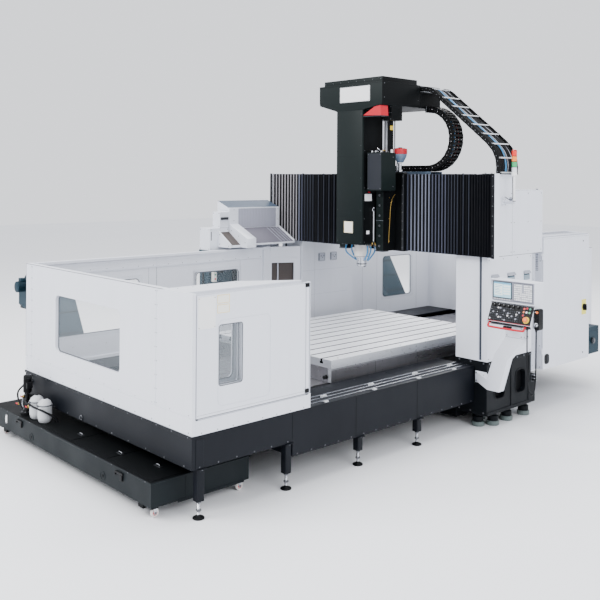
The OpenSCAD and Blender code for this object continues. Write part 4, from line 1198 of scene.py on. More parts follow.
for r in range(8):
    for c in range(9):
        if (r, c) in ((0, 4), (1, 4), (2, 4), (3, 4)):
            continue
        x, z = 2406 + c * 24, 1768 - r * 22
        s.box("key_grey" if (r * 3 + c) % 7 == 0 else "white_plate", x, x + 18, -18, -13, z, z + 15, 1.5)
# joint between the halves
s.box("dark_gap", 2114, 2646, -8, 3, 1566, 1572, 0.5)
# lower half: a dark slanted field with keys, knobs and an emergency stop
n = Vector((0, -194, 84)).normalized()
up = Vector((0, 84, 1566 - 1372)).normalized()
origin = Vector((2113, -84, 1372))
frame_m = Matrix(((1, 0, 0, origin.x), (0, up.y, -n.y, origin.y), (0, up.z, -n.z, origin.z), (0, 0, 0, 1)))
# in this frame: x to the right, y up the slope, z into the console
s.t = frame_m
s.box("key_dark", 8, 526, 6, 206, -6, 1, 3)
s.box("red_paint", 8, 526, 3, 6.5, -7, 0, 0.8)
s.box("black_plastic", 14, 392, 12, 200, -8, -5, 1.5)
s.box("black_plastic", 398, 520, 12, 200, -8, -5, 1.5)
for r in range(6):
    for c in range(14):
        x, y = 22 + c * 26, 20 + r * 25
        if r == 5 and c > 10:
            continue
        mat = "key_grey" if (r * 5 + c * 3) % 17 == 0 else "bezel" if (r * 2 + c) % 7 == 0 else "key_dark"
        s.box(mat, x, x + 20, y, y + 17, -12, -7, 1.5)
        if (r * 3 + c) % 6 == 0:
            s.box("lamp_white", x + 7, x + 13, y + 12, y + 15, -12.6, -11.6, 0.3)
for i, x in enumerate((60, 118, 176, 234, 292, 350)):
    s.lathe("black_plastic", (x, 180, -7), (0, 0, -1), [(14, 0), (15, 1), (14, 12), (10, 15)], 20)
    s.box("white_plate", x - 1, x + 1, 181, 191, -22.6, -21.5, 0.2)
for x, y, mat in ((424, 176, "lamp_red"), (456, 184, "red_paint"), (492, 180, "green_plastic"), (424, 140, "orange_plastic"),
                  (458, 140, "lamp_white"), (492, 140, "lamp_green"), (424, 104, "red_paint")):
    s.lathe("bolt_steel", (x, y, -7), (0, 0, -1), [(13, 0), (13, 3), (11, 4)], 20)
    s.lathe(mat, (x, y, -10), (0, 0, -1), [(10.5, 0), (10.5, 4), (8, 6)], 20)
s.lathe("yellow_plate", (470, 58, -7), (0, 0, -1), [(36, 0), (36, 2), (34, 3)], 32)
s.lathe("orange_plastic", (470, 58, -10), (0, 0, -1), [(14, 0), (14, 14), (26, 17), (28, 22), (24, 30), (12, 33)], 32)
for y, x in ((28, 22), (58, 22)):
    s.cyl("black_plastic", (x + 388, y, -7), (0, 0, -1), 8, 8, 14)
s.t = None
# carrying handle, red, with bent ends and a grip
s.tube("red_paint", spline([(2150, -70, 1356), (2148, -100, 1345), (2150, -116, 1326), (2178, -119, 1318), (2366, -119, 1316), (2556, -119, 1318),
                            (2582, -116, 1326), (2584, -100, 1345), (2582, -70, 1356)], 5), 11, 14)
for x in (2150, 2582):
    s.lathe("black_plastic", (x, -74, 1357), (0, -0.9, -0.43), [(18, 0), (18, 6), (14, 9)], 18)
s.box("black_plastic", 2322, 2420, -100, -70, 1322, 1339, 3)
for x in (2338, 2368, 2398):
    s.cyl("key_dark", (x, -101, 1330), "-y", 9, 7, 14)
# housing's back, sides and hood
s.box("panel_grey", 2150, 2610, 164, 170, 1370, 1790, 4)
for i in range(9):
    s.prism("louvre", "x", 2240, 2520, [(170, 1740 - i * 16), (177, 1737 - i * 16), (177, 1734 - i * 16), (170, 1729 - i * 16)], 0.3)
for x in (2170, 2590):
    for z in (1390, 1770):
        s.screw((x, 170, z), "y", 6)
s.box("white_paint", 2110, 2650, -22, 20, 1808, 1820, 3)
for z in (1400, 1560, 1780):
    s.screw((2113, 120, z), "-x", 6)
s.build("Console", "machine", ("console",))

s = Shape()
s.box("dark_steel", 2647, 2661, -30, 44, 1456, 1544, 3)
s.prism("black_plastic", "y", -38, 50, rounded([(2660, 1345), (2672, 1330), (2702, 1330), (2715, 1345), (2715, 1540), (2705, 1552), (2669, 1552), (2660, 1540)], 8, 3), 3)
s.lathe("key_dark", (2687, -38, 1392), "-y", [(25, 0), (26, 1), (26, 4), (22, 6)], 30)
s.lathe("chrome_steel", (2687, -44, 1392), "-y", [(19, 0), (20, 1), (19, 8), (14, 10)], 30)
s.lathe("black_plastic", (2697, -52, 1400), "-y", [(4, 0), (5, 1), (5, 10), (3, 12)], 12)
for i in range(24):
    a = 2 * math.pi * i / 24
    s.box("white_plate", 2687 + 23.5 * math.cos(a) - 0.6, 2687 + 23.5 * math.cos(a) + 0.6, -44.4, -43.6, 1392 + 23.5 * math.sin(a) - 0.6,
          1392 + 23.5 * math.sin(a) + 0.6, 0.1)
s.lathe("orange_plastic", (2700, -38, 1522), "-y", [(9, 0), (9, 8), (13, 10), (13, 15), (9, 18)], 20)
s.lathe("black_plastic", (2674, -38, 1470), "-y", [(10, 0), (10, 10), (8, 13)], 16)
s.lathe("black_plastic", (2700, -38, 1470), "-y", [(10, 0), (10, 10), (8, 13)], 16)
s.cyl("lamp_white", (2674, -38, 1522), "-y", 5, 3, 12)
s.lathe("cord_rubber", (2674, -20, 1331), "-z", [(12, 0), (12, 8), (9, 11), (9, 21)], 16)
s.build("HandwheelPendant", "machine", ("handwheel_pendant",))

# ---------------------------------------------------------------- coolant tank


def tank_mat(c, nrm):
    return "tank_top" if nrm.z > 0.9 and c.z > 300 else None


s = Shape()
s.cad("coolant_tank", "tank_paint", 3, tank_mat)
# lids: raised plates with slots, handles and hinges
for x0, x1 in ((-760, -130), (-110, 560), (580, 1320)):
    s.box("tank_top", x0, x1, -3800, -2930, 320, 324, 1.5)
for x, y in ((-224, -3646), (524, -3640), (1040, -3560)):
    s.box("bolt_steel", x - 30, x - 22, y - 8, y + 8, 324, 334, 1)
    s.box("bolt_steel", x + 22, x + 30, y - 8, y + 8, 324, 334, 1)
    s.tube("chrome_steel", [(x - 26, y, 332), (x - 20, y, 338), (x + 20, y, 338), (x + 26, y, 332)], 4, 8)
    s.box("dark_steel", x - 46, x + 46, y - 20, y + 20, 323.5, 326, 1)
s.box("dark_gap", -568, 126, -3831.2, -3828, 300, 306, 0.4)
s.prism("tank_paint", "x", -590, 150, [(-3838, 320), (-3846, 316), (-3846, 312), (-3838, 300)], 1)
# front: two pressed circles, handles and a sight glass
for x in (-948, 541):
    s.lathe("tank_paint", (x, -3830, 165), "-y", [(44, 0), (44, 3), (38, 3.2), (37, 0.4)], 32)
    s.lathe("tank_top", (x, -3830, 165), "-y", [(14, 0), (14, 3), (11, 4)], 20)
for x in (-1230, 840):
    s.box("black_plastic", x - 66, x + 66, -3846, -3829, 262, 282, 4)
    s.box("black_plastic", x + 20, x + 60, -3848, -3829, 214, 264, 4)
    s.box("black_plastic", x - 66, x - 50, -3850, -3829, 246, 264, 3)
s.box("white_plate", -1600, -1560, -3834, -3829, 172, 268, 1.5)
s.tube("pane", [(-1580, -3838, 178), (-1580, -3838, 262)], 7, 10)
for z in (176, 264):
    s.cyl("bolt_steel", (-1580, -3829, z), "-y", 9, 12, 14)
# channels at the corners, where the casters sit
for x, y in ((1175, -3790), (-1630, -3790), (1175, -2870), (-1630, -2870)):
    k = 1 if x > 0 else -1
    s.box("tank_top", x - 40, x + 40, y - 34, y + 34, 62, 100, 3)
    s.box("tank_top", k * 1240 if x > 0 else -1700, k * 1350 if x > 0 else -1810, y - 34, y + 34, 93, 101, 1)
s.box("tank_paint", 1350, 1354, -3560, -2830, 88, 112, 1)
for z in (296,):
    for x in steps(-1820, 1270, 12):
        s.screw((x, -3838, 313), "-y", 5)
# seams of the side
for y in (-3480,):
    s.box("dark_gap", 1349.4, 1351, y - 1, y + 1, 104, 304, 0.3)
s.build("CoolantTank", "machine", ("coolant_tank",))

s = Shape()
for x in (-1060, -870):
    s.lathe("grey_paint", (x, -3722, 320), "z", [(50, 0), (62, 10), (72, 44), (74, 60), (74, 176), (76, 178), (76, 190), (70, 200), (58, 222),
                                                  (30, 242), (12, 247)], 40)
    s.lathe("black_plastic", (x, -3722, 566), "z", [(18, 0), (18, 8), (10, 12)], 20)
    s.lathe("bolt_steel", (x, -3722, 496), "z", [(78, 0), (79, 2), (79, 10), (78, 12)], 40)
    s.box("bolt_steel", x - 12, x + 12, -3812, -3790, 494, 510, 2)
prof = [(46, 0), (46, 6)]
for i in range(14):
    prof += [(40, 8 + i * 9), (46, 9 + i * 9), (46, 13 + i * 9), (40, 14 + i * 9)]
s.lathe("black_plastic", (-1290, -3722, 320), "z", [(68, 0), (70, 2), (70, 22), (60, 25), (24, 30), (22, 200), (40, 238)], 32)
s.lathe("black_plastic", (-1290, -3722, 558), "z", prof + [(46, 140), (44, 168), (38, 180), (20, 186)], 32)
s.box("black_plastic", -1258, -1226, -3756, -3690, 600, 668, 4)
for i in range(8):
    a = 2 * math.pi * i / 8
    s.bolt((-1290 + 58 * math.cos(a), -3722 + 58 * math.sin(a), 343), "z", 6)
# pipes, valves and hoses round the pump
s.tube("bolt_steel", spline([(-1230, -3722, 352), (-1200, -3730, 372), (-1180, -3740, 430), (-1150, -3742, 440), (-1060, -3745, 440)], 6), 12, 10)
s.tube("bolt_steel", spline([(-1350, -3722, 350), (-1400, -3720, 366), (-1440, -3700, 440), (-1440, -3640, 560), (-1440, -3600, 640)], 6), 14, 10)
s.tube("cord_rubber", spline([(-1330, -3690, 470), (-1180, -3790, 480), (-1000, -3800, 470), (-800, -3780, 460), (-740, -3690, 400), (-730, -3640, 340)], 6), 11, 10)
s.tube("cord_rubber", spline([(-1290, -3776, 380), (-1360, -3790, 460), (-1420, -3770, 540), (-1460, -3680, 600), (-1440, -3600, 700)], 6), 10, 10)
for p in ((-1190, -3745, 420), (-1440, -3690, 470), (-1380, -3765, 420)):
    s.lathe("brass", p, (0.3, -1, 0.1), [(10, 0), (16, 3), (16, 22), (10, 26), (6, 34)], 14)
    s.box("red_paint", p[0] - 22, p[0] + 22, p[1] - 40, p[1] - 34, p[2] - 3, p[2] + 12, 2)
s.box("tank_top", -1480, -1400, -3640, -3560, 324, 470, 4)
s.lathe("chrome_steel", (-1440, -3640, 420), "-y", [(24, 0), (26, 2), (26, 14), (22, 18)], 24)
s.cyl("white_plate", (-1440, -3658, 420), "-y", 21, 1, 24, 0.2)
s.build("TankPumps", "machine", ("tank_pumps",))

CAST = [(1290, -3757), (-1747, -3757), (1290, -2840), (-1747, -2840)]
s = Shape()
for x, y in CAST:
    s.box("chrome_steel", x - 34, x + 34, y - 30, y + 30, 95, 100, 1)
    s.lathe("chrome_steel", (x, y, 95), "-z", [(26, 0), (26, 2), (21, 4), (21, 6), (26, 8)], 24)
    for k in (-1, 1):
        s.prism("chrome_steel", "x", x + k * 17, x + k * 20, [(y - 22, 90), (y + 22, 90), (y + 12, 28), (y - 12, 28)], 0.5)
        s.cyl("bolt_steel", (x + k * 20, y, 38), "x" if k > 0 else "-x", 9, 5, 12)
    s.cyl("bolt_steel", (x - 22, y, 38), "x", 5.6, 44, 12)
    for dx, dy in ((-26, -22), (26, -22), (-26, 22), (26, 22)):
        s.bolt((x + dx, y + dy, 95), "-z", 4)
s.build("CasterForks", "machine", ("caster_forks",))
for i, (x, y) in enumerate(CAST):
    s = Shape()
    s.lathe("wheel_plastic", (x - 13, y, 38), "x", [(6.4, 0), (22, 0), (24, 1.5), (24, 3), (33, 3.2), (33, 22.8), (24, 23), (24, 24.5), (22, 26), (6.4, 26)], 32)
    s.lathe("wheel_white", (x - 12, y, 38), "x", [(32, 0), (36, 0.5), (38, 5), (38, 19), (36, 23.5), (32, 24)], 40)
    for k in range(6):
        a = 2 * math.pi * k / 6
        s.t = Matrix.Translation((x, y, 38)) @ Matrix.Rotation(a, 4, "X")
        s.box("wheel_white", -13.6, 13.6, -2, 2, 11, 31, 0.6)
        s.t = None
    s.build("CasterWheel%d" % (i + 1), "caster_%d" % (i + 1), ("caster_wheel_%d" % (i + 1),))

# ---------------------------------------------------------------- stack light

s = Shape()
s.box("white_paint", 1785, 1795, 680, 750, 2580, 2680, 3)
s.box("white_paint", 1790, 1946, 702, 728, 2606, 2640, 3)
for z in (2596, 2664):
    for y in (692, 738):
        s.screw((1795, y, z), "x", 5)
s.lathe("white_plate", (1930, 715, 2606), "z", [(13, 0), (15, 1), (15, 328), (12, 330)], 20)
s.lathe("bolt_steel", (1930, 715, 2638), "z", [(18, 0), (19, 1), (19, 9), (14, 12)], 6)
s.lathe("white_plate", (1930, 715, 2934), "z", [(20, 0), (32, 6), (33, 10), (33, 40), (31, 44)], 32)
for i, mat in enumerate(("lamp_white", "lamp_green", "lamp_amber", "lamp_red")):
    z = 2978 + i * 64
    prof = []
    for k in range(9):
        prof += [(29.2, 3 + k * 6), (30, 6 + k * 6)]
    s.lathe(mat, (1930, 715, z), "z", [(27, 0), (29, 2)] + prof + [(29, 58), (27, 59)], 32)
    s.lathe("black_plastic", (1930, 715, z + 58), "z", [(28, 0), (30, 1), (30, 5), (28, 6)], 32)
s.lathe("lamp_red", (1930, 715, 3234), "z", [(28, 0), (26, 6), (18, 10), (4, 12.5)], 32)
s.tube("cord_rubber", spline([(1800, 728, 2690), (1860, 722, 2660), (1905, 716, 2668), (1909, 715, 2760), (1908, 715, 2900), (1914, 715, 2936)], 6), 4.5, 8)
s.build("StackLight", "machine", ("stack_light",))

# ---------------------------------------------------------------- cable chains

LAD = [(672, 4030), (820, 4030), (1180, 3740), (1500, 3484), (1690, 3330), (1780, 3230), (1822, 3110), (1828, 2956)]


def blended(s, name, node, slot):
    ob = s.build(name, None, node, slot=slot)
    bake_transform(ob)
    return ob


def along(path, i):
    a, b = path[max(i - 1, 0)], path[min(i + 1, len(path) - 1)]
    d = (b - a).normalized()
    return path[i], d, Vector((-d.y, d.x))


mid = evenly(rounded(LAD, 90, 5)[3:-3], 62)
mid = [Vector((672, 4030))] + [p for p in mid if 690 < p.x] + [Vector((1828, 2960))]
s = Shape()
n = len(mid)
for i in range(n - 1):
    p, d, u = along(mid, i)
    q, e, w = along(mid, i + 1)
    # two overlapping side links with a pin, one band each side
    for y0, y1 in ((540, 552), (908, 920)):
        k = 1 if i % 2 else 0
        lo, hi = p - d * 12, q + e * 12
        dd = (hi - lo).normalized()
        uu = Vector((-dd.y, dd.x))
        pts = rounded([tuple(lo - uu * 27), tuple(hi - uu * 27), tuple(hi + uu * 27), tuple(lo + uu * 27)], 14, 3)
        a0, a1 = (y0, y1 - 4) if k else (y0 + 4, y1)
        s.prism("chain_plastic", "y", a0, a1, pts, 1)
        s.cyl("bolt_steel", (p.x, y0 - 2 if y0 < 700 else y1 + 2, p.y), "-y" if y0 < 700 else "y", 6, 2, 10, 0.5)
    if i % 3 == 0:
        # cross bars above and below the hoses, ends in dark clips
        for t in (24, -24):
            c = (p + q) / 2 + u * t
            pts = rounded([tuple(c - d * 9 - u * 4), tuple(c + d * 9 - u * 4), tuple(c + d * 9 + u * 4), tuple(c - d * 9 + u * 4)], 3, 2)
            s.prism("grey_paint", "y", 546, 914, pts, 0.8)
            for y in (553, 893):
                s.prism("chain_plastic", "y", y, y + 14, [tuple(c + (v - c) * 1.25) for v in (Vector(p2) for p2 in pts)], 0.8)
hoses = [("chain_plastic", 16), ("chain_plastic", 12), ("cord_rubber", 10), ("chain_plastic", 13), ("hose_blue", 15), ("cord_rubber", 7), ("hose_grey", 9),
         ("chain_plastic", 15), ("cord_rubber", 10), ("chain_plastic", 12), ("hose_grey", 7), ("chain_plastic", 14)]
y = 566
for j, (mat, r) in enumerate(hoses):
    y += r + 2
    pts = []
    for i in range(n):
        p, d, u = along(mid, i)
        off = 3 * math.sin(i * 0.9 + j * 1.7)
        c = p + u * off
        pts.append((c.x, y + 2.5 * math.sin(i * 0.6 + j), c.y))
    s.tube(mat, pts, r, 10)
    y += r + 1
blended(s, "LadderChain", ("ladder_chain",), "chain_plastic")

s = Shape()
s.box("dark_steel", 1610, 1862, 534, 862, 2952, 2964, 3)
for x in (1640, 1725):
    for yy in (560, 840):
        s.bolt((x, yy, 2966), "z", 9)
s.build("LadderRoot", "machine")

arc = [Vector((671, 3781))] + [Vector((690 + 376 * math.cos(math.radians(a)), 3405 + 376 * math.sin(math.radians(a)))) for a in range(90, -91, -6)]
arc += [Vector((x, 3029)) for x in (600, 500, 400, 300, 200, 100, 0, -100, -200)]
path = evenly(arc, 46)
s = Shape()
for i in range(len(path) - 1):
    p, d, u = along(path, i)
    q, e, w = along(path, i + 1)
    lo, hi = p - d * 9, q + e * 9
    dd = (hi - lo).normalized()
    uu = Vector((-dd.y, dd.x))
    for y0, y1 in ((660, 672), (848, 860)):
        pts = rounded([tuple(lo - uu * 38), tuple(hi - uu * 38), tuple(hi + uu * 38), tuple(lo + uu * 38)], 16, 3)
        a0, a1 = (y0, y1 - 5) if i % 2 else (y0 + 5, y1)
        s.prism("chain_plastic", "y", a0, a1, pts, 1)
        s.cyl("bolt_steel" if i % 2 else "key_grey", (p.x, y0 if y0 < 700 else y1, p.y), "-y" if y0 < 700 else "y", 5, 2, 10, 0.5)
    for t in (33, -33):
        c = (p + q) / 2 + u * t
        pts = [tuple(c - d * 15 - u * 4), tuple(c + d * 15 - u * 4), tuple(c + d * 15 + u * 4), tuple(c - d * 15 + u * 4)]
        s.prism("chain_plastic", "y", 668, 852, pts, 0.8)
        if i % 2:
            for y in (700, 760, 820):
                s.prism("key_grey", "y", y - 3, y + 3, [tuple(c + u * t / 33 * 3.2 - d * 5), tuple(c + u * t / 33 * 3.2 + d * 5),
                                                         tuple(c + u * t / 33 * 5 + d * 5), tuple(c + u * t / 33 * 5 - d * 5)], 0.2)
for j, (mat, r) in enumerate((("chain_plastic", 14), ("hose_blue", 10), ("hose_grey", 9), ("chain_plastic", 16), ("hose_red", 9), ("chain_plastic", 12))):
    pts = []
    for i in range(len(path)):
        p, d, u = along(path, i)
        c = p + u * (3 * math.sin(i * 0.7 + j))
        pts.append((c.x, 690 + j * 29, c.y))
    s.tube(mat, pts, r, 8)
blended(s, "LoopChain", ("loop_chain",), "chain_plastic")

s = Shape()
# tray on the beam where the chain lies down
s.box("bracket_blue", -240, 760, 650, 870, 2943, 2949, 1.5)
s.box("bracket_blue", -240, 760, 642, 650, 2941, 2989, 1.5)
s.box("bracket_blue", -240, 760, 870, 878, 2941, 2989, 1.5)
for x in steps(-200, 720, 6):
    s.screw((x, 642, 2966), "-y", 6)
    s.screw((x, 878, 2966), "y", 6)
s.box("dark_steel", -236, -200, 655, 865, 2949, 3070, 3)
s.build("ChainTray", "machine", slot="chain_plastic")

# ---------------------------------------------------------------- table and way covers


def way_cover(node, name, y0, y1, fixed):
    s = Shape()
    n = 9
    d = (y1 - y0) / n
    for i in range(n):
        z = 664 + i * 4
        a = min(y0 + d * i, y0 + d * (i + 1))
        b = max(y0 + d * i, y0 + d * (i + 1))
        lip, tail = (b, a) if d < 0 else (a, b)
        out = 1 if d > 0 else -1
        # each plate has a fold at its lower end that rests on the next one, with a wiper
        s.box("cover_steel", -1000, 1000, max(a - 8, min(y0, y1)), min(b + 8, max(y0, y1)), z, z + 7, 1)
        e = lip if d > 0 else lip
        s.box("cover_steel", -1000, 1000, e - 3, e + 3, z - 3, z + 8, 1)
        s.box("cord_rubber", -996, 996, e - out * 3, e - out * 7, z - 3.5, z + 2, 0.5)
        for k in (-1, 1):
            s.box("cover_steel", k * 993, k * 1001, max(a - 8, min(y0, y1)), min(b + 8, max(y0, y1)), 606, z + 7, 1)
            s.screw((k * 1001, (a + b) / 2, 640), "x" if k > 0 else "-x", 6)
        for x in (-700, 700):
            s.screw((x, e + out * 24, z + 7), "z", 5)
    ob = s.build(name, None, (node,), slot="machined_steel")
    a, b = y0 - (y1 - y0) * 0.125, y1 + (y1 - y0) * 0.125
    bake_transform(ob)


way_cover("front_way_cover", "FrontWayCover", -3540, -1372, 1)
way_cover("rear_way_cover", "RearWayCover", 3540, 1462, 1)


def table_mat(c, nrm):
    if nrm.z > 0.9 and c.z > 940:
        return "ground_top"
    if c.z < 925 and c.z > 890 and abs(c.y - 45) < 1440 and abs(nrm.z) < 0.99:
        return "dark_steel"
    if abs(c.z - 915) < 24 and abs(c.y - 45) < 1440:
        return "dark_steel"
    return None


s = Shape()
s.cad("table", "machined_steel", 1.5, table_mat)
for k in (-1, 1):
    side = "x" if k > 0 else "-x"
    # long sides: coolant groove, cover sheet and its screws
    s.box("cover_steel", k * 1050, k * 1054, -1396, 1486, 708, 842, 1)
    s.box("dark_gap", k * 1049.5, k * 1051.5, -1398, 1488, 846, 850, 0.3)
    for y in steps(-1330, 1420, 12):
        s.screw((k * 1054, y, 826), side, 6)
        s.screw((k * 1054, y, 724), side, 6)
    s.box("dark_steel", k * 1049, k * 1058, -1400, 1490, 700, 709, 1)
    for y in (-700, 45, 790):
        s.box("dark_gap", k * 1053.5, k * 1054.8, y - 1, y + 1, 710, 840, 0.2)
for y, out in ((-1400, -1), (1490, 1)):
    face = "-y" if out < 0 else "y"
    s.box("cover_steel", -1000, 1000, y, y + out * 4, 708, 860, 1)
    for x in steps(-940, 940, 11):
        s.screw((x, y + out * 4, 846), face, 6)
        s.screw((x, y + out * 4, 724), face, 6)
    # lifting eyes' black knobs near the corners
    for x in (-980, 980):
        s.lathe("black_plastic", (x, y, 760), face, [(22, 0), (24, 2), (24, 8), (14, 12), (14, 26), (20, 32), (20, 42), (15, 46)], 20)
    # dark T ends of the slots
    for i in range(10):
        x = -900 + 200 * i
        s.box("dark_gap", x - 24.5, x + 24.5, y + out * -2, y + out * 0.6, 893.5, 915, 0.1)
        s.box("dark_gap", x - 13.5, x + 13.5, y + out * -2, y + out * 0.6, 914, 944.4, 0.1)
# reference bores in the top
for i in range(6):
    for k in (-1, 1):
        s.lathe("dark_steel", (k * 1000, -1250 + i * 520, 945.2), "z", [(11, 0), (11, 0.3), (7, 0.3), (6.5, -1)], 16)
s.build("Table", "table", ("table",))

# ---------------------------------------------------------------- saddle and head

s = Shape()
s.cad("saddle", "saddle_paint_and_head_shade", 4, lambda c, nrm: "head_paint" if c.y < 30 and nrm.y < -0.9 else None)
# edge strips where the bellows hang, wipers and bolts
for x0, x1 in ((-371, -345), (635, 661)):
    s.box("dark_steel", x0, x1, 232, 241, 2004, 2952, 1.5)
    for z in steps(2040, 2920, 9):
        s.bolt(((x0 + x1) / 2, 232, z), "-y", 7)
for k in (-1, 1):
    x = 145 + k * 315
    for z in steps(2060, 2690, 6):
        s.bolt((x, 20, z), "-y", 13)
    s.box("seam", x - 60, x + 60, 19.4, 20.6, 2374, 2378, 0.3)
    s.box("dark_steel", x - 64, x + 64, 16, 120, 1990, 2006, 3)
    s.tube("brass", spline([(x + k * 62, 120, 2100), (x + k * 66, 130, 2300), (x + k * 66, 160, 2600), (x + k * 62, 236, 2700)], 5), 3.5, 8)
    for z in (2120, 2400, 2660):
        s.cyl("brass", (x + k * 60, 128, z), "x" if k > 0 else "-x", 7, 9, 12)
# upper edge: drag chain bracket and the lubricator's funnel
s.box("saddle_paint_and_head_shade", -330, 655, 245, 335, 2956, 2966, 3)
s.box("dark_steel", 470, 640, 250, 330, 2966, 2980, 3)
s.lathe("chrome_steel", (552, 290, 2980), "z", [(30, 0), (34, 3), (34, 20), (24, 24), (24, 110), (30, 114)], 24)
s.lathe("chrome_steel", (500, 300, 2980), "z", [(10, 0), (10, 120), (8, 124)], 16)
s.lathe("bracket_blue", (552, 296, 3100), "z", [(38, 0), (44, 6), (78, 70), (84, 96), (84, 108)], 36)
s.lathe("red_paint", (552, 296, 3206), "z", [(86, 0), (89, 3), (89, 60), (84, 66), (82, 68)], 36)
s.lathe("black_plastic", (552, 296, 3272), "z", [(60, 0), (60, 6), (24, 12), (24, 18)], 28)
for z in (3216, 3236, 3256):
    s.lathe("hose_red", (552, 296, z), "z", [(88, 0), (90.5, 1.5), (90.5, 4), (88, 6)], 36)
s.build("Saddle", "saddle", ("saddle",))

s = Shape()
s.cad("balance_cylinders", "head_paint", 5)
for k in (-1, 1):
    x = 145 + k * 315
    # head plates, tie bolts, ports with bent pipes
    s.box("saddle_paint_and_head_shade", x - 62, x + 62, 18, 142, 2742, 2766, 4)
    s.box("saddle_paint_and_head_shade", x - 62, x + 62, 18, 142, 3196, 3226, 4)
    for dx in (-44, 44):
        for dy in (34, 126):
            s.bolt((x + dx, dy, 3226), "z", 9)
    s.lathe("brass", (x, 80, 3240), "z", [(30, 0), (31, 2), (31, 8), (22, 12), (17.5, 14), (17.4, 12)], 28)
    s.box("seam", x - 36, x - 33, 21.3, 22.4, 2770, 3194, 0.3)
    s.box("seam", x + 33, x + 36, 21.3, 22.4, 2770, 3194, 0.3)
    s.tube("chrome_steel", spline([(x - 40, 24, 3236), (x - 44, 10, 3262), (x - 30, 4, 3280), (x - 10, 6, 3262), (x - 6, 20, 3244)], 5), 6, 10)
    s.lathe("chrome_steel", (x - 40, 24, 3224), "z", [(10, 0), (11, 1), (11, 12), (8, 15)], 6)
    if k > 0:
        # casing in front of the cylinder: lighter cover, fittings and a pipe on top
        s.box("box_grey", 412, 632, -153, -148, 2762, 3203, 3)
        for dx, z in ((424, 2774), (620, 2774), (424, 3191), (620, 3191)):
            s.screw((dx, -153, z), "-y", 6)
        for dx in (440, 500, 590):
            s.lathe("chrome_steel", (dx, -100, 3215), "z", [(16, 0), (17, 2), (17, 10), (11, 12), (11, 18), (14, 19), (14, 24)], 12)
        s.tube("chrome_steel", spline([(440, -86, 3228), (440, -40, 3230), (436, 0, 3230), (430, 24, 3226)], 5), 5, 10)
    for z in (2800, 3160):
        s.screw((x + (180 if k > 0 else -58), 60, z), "x" if k > 0 else "-x", 7)
s.build("BalanceCylinders", "saddle", ("balance_cylinders",))

s = Shape()
s.cad("cable_arm", "saddle_paint_and_head_shade", 4)
for z in (3120, 3400, 3680):
    s.box("saddle_paint_and_head_shade", -300, 100, 552, 561, z, z + 30, 2)
for x in (-270, 70):
    for y in (360, 440, 520, 610):
        s.bolt((x, y, 3000), "z", 10)
for x in (-250, -60, 130, 320, 510, 640):
    for y in (575, 920):
        s.screw((x, y, 4060), "z", 8)
s.box("seam", 180, 184, 544.2, 546, 3800, 4052, 0.3)
s.box("panel_grey", -280, 640, 950, 953, 3810, 4040, 2)
for i in range(10):
    s.prism("louvre", "x", 200, 560, [(953, 4010 - i * 17), (960, 4007 - i * 17), (960, 4004 - i * 17), (953, 3999 - i * 17)], 0.3)
s.box("dark_steel", 655, 676, 545, 935, 3990, 4072, 3)
s.box("dark_steel", 655, 676, 655, 865, 3740, 3822, 3)
for y in (560, 920):
    s.bolt((676, y, 4030), "x", 9)
s.tube("cord_rubber", spline([(-180, 545, 3960), (-190, 528, 3900), (-200, 535, 3600), (-200, 550, 3300), (-200, 556, 3060)], 5), 14, 10)
s.tube("hose_grey", spline([(-140, 545, 3940), (-146, 535, 3900), (-150, 545, 3600), (-150, 552, 3300), (-150, 556, 3060)], 5), 9, 10)
s.build("CableArm", "saddle", ("cable_arm",))


def ram_mat(c, nrm):
    r = math.hypot(c.x - 145, c.y - 40)
    if c.z < 2070 and r < 96:
        return "wheel_white" if r > 60 else "dark_steel"
    if abs(c.x - 145) > 221 and c.y > 195:
        return "machined_steel"
    return None


s = Shape()
s.cad("ram", "head_paint", 6, ram_mat, seg=2)
# front face: faint joints of the cover, screws, blank plate
for x in (-52, 342):
    for z in (2110, 2500, 2900, 3300, 3690):
        s.screw((x, -200, z), "-y", 5, "dark_steel")
s.box("saddle_paint_and_head_shade", -74, 364, -200.8, -199.4, 2418, 2420, 0.2)
s.box("saddle_paint_and_head_shade", -74, 364, -200.8, -199.4, 3168, 3170, 0.2)
s.box("cream_plate", 62, 214, -202.4, -199.6, 2216, 2358, 0.8)
s.ring("yellow_plate", "y", -202.8, -202.2, 68, 208, 2222, 2352, 2, 3)
# both sides: sheets in the near-black saddle paint as painted shade; on the side towards the operator blank plates and
# a chrome clamp cylinder
for k, x in ((1, 365), (-1, -75)):
    a = "x" if k > 0 else "-x"
    s.box("saddle_paint_and_head_shade", x, x + k * 5, -176, 190, 2090, 2720, 2)
    s.box("saddle_paint_and_head_shade", x, x + k * 5, -176, 190, 2760, 3700, 2)
    for y in (-160, 174):
        for z in (2110, 2400, 2700, 2780, 3240, 3680):
            s.screw((x + k * 5, y, z), a, 6)
s.box("white_plate", 369.5, 372, -154, -28, 2618, 2704, 0.8)
s.box("red_paint", 369.5, 372, -96, -56, 2722, 2732, 0.5)
s.box("white_plate", 369.5, 372, -122, -70, 2208, 2250, 0.8)
s.lathe("chrome_steel", (386, -8, 2108), "z", [(9, 0), (11, 2), (11, 380), (7, 384), (7, 404)], 20)
s.box("chrome_steel", 369, 397, -40, 10, 2492, 2526, 4)
s.lathe("chrome_steel", (386, -8, 2526), "z", [(9, 0), (10, 1), (10, 12), (6, 15)], 6)
s.box("dark_steel", 369, 396, -24, 8, 2092, 2118, 3)
for p, q in (((380, -30, 2098), (392, -60, 2060)), ((380, 20, 2098), (400, 40, 2050))):
    s.tube("brass", spline([p, (p[0] + 8, p[1], p[2] - 20), q], 5), 5, 8)
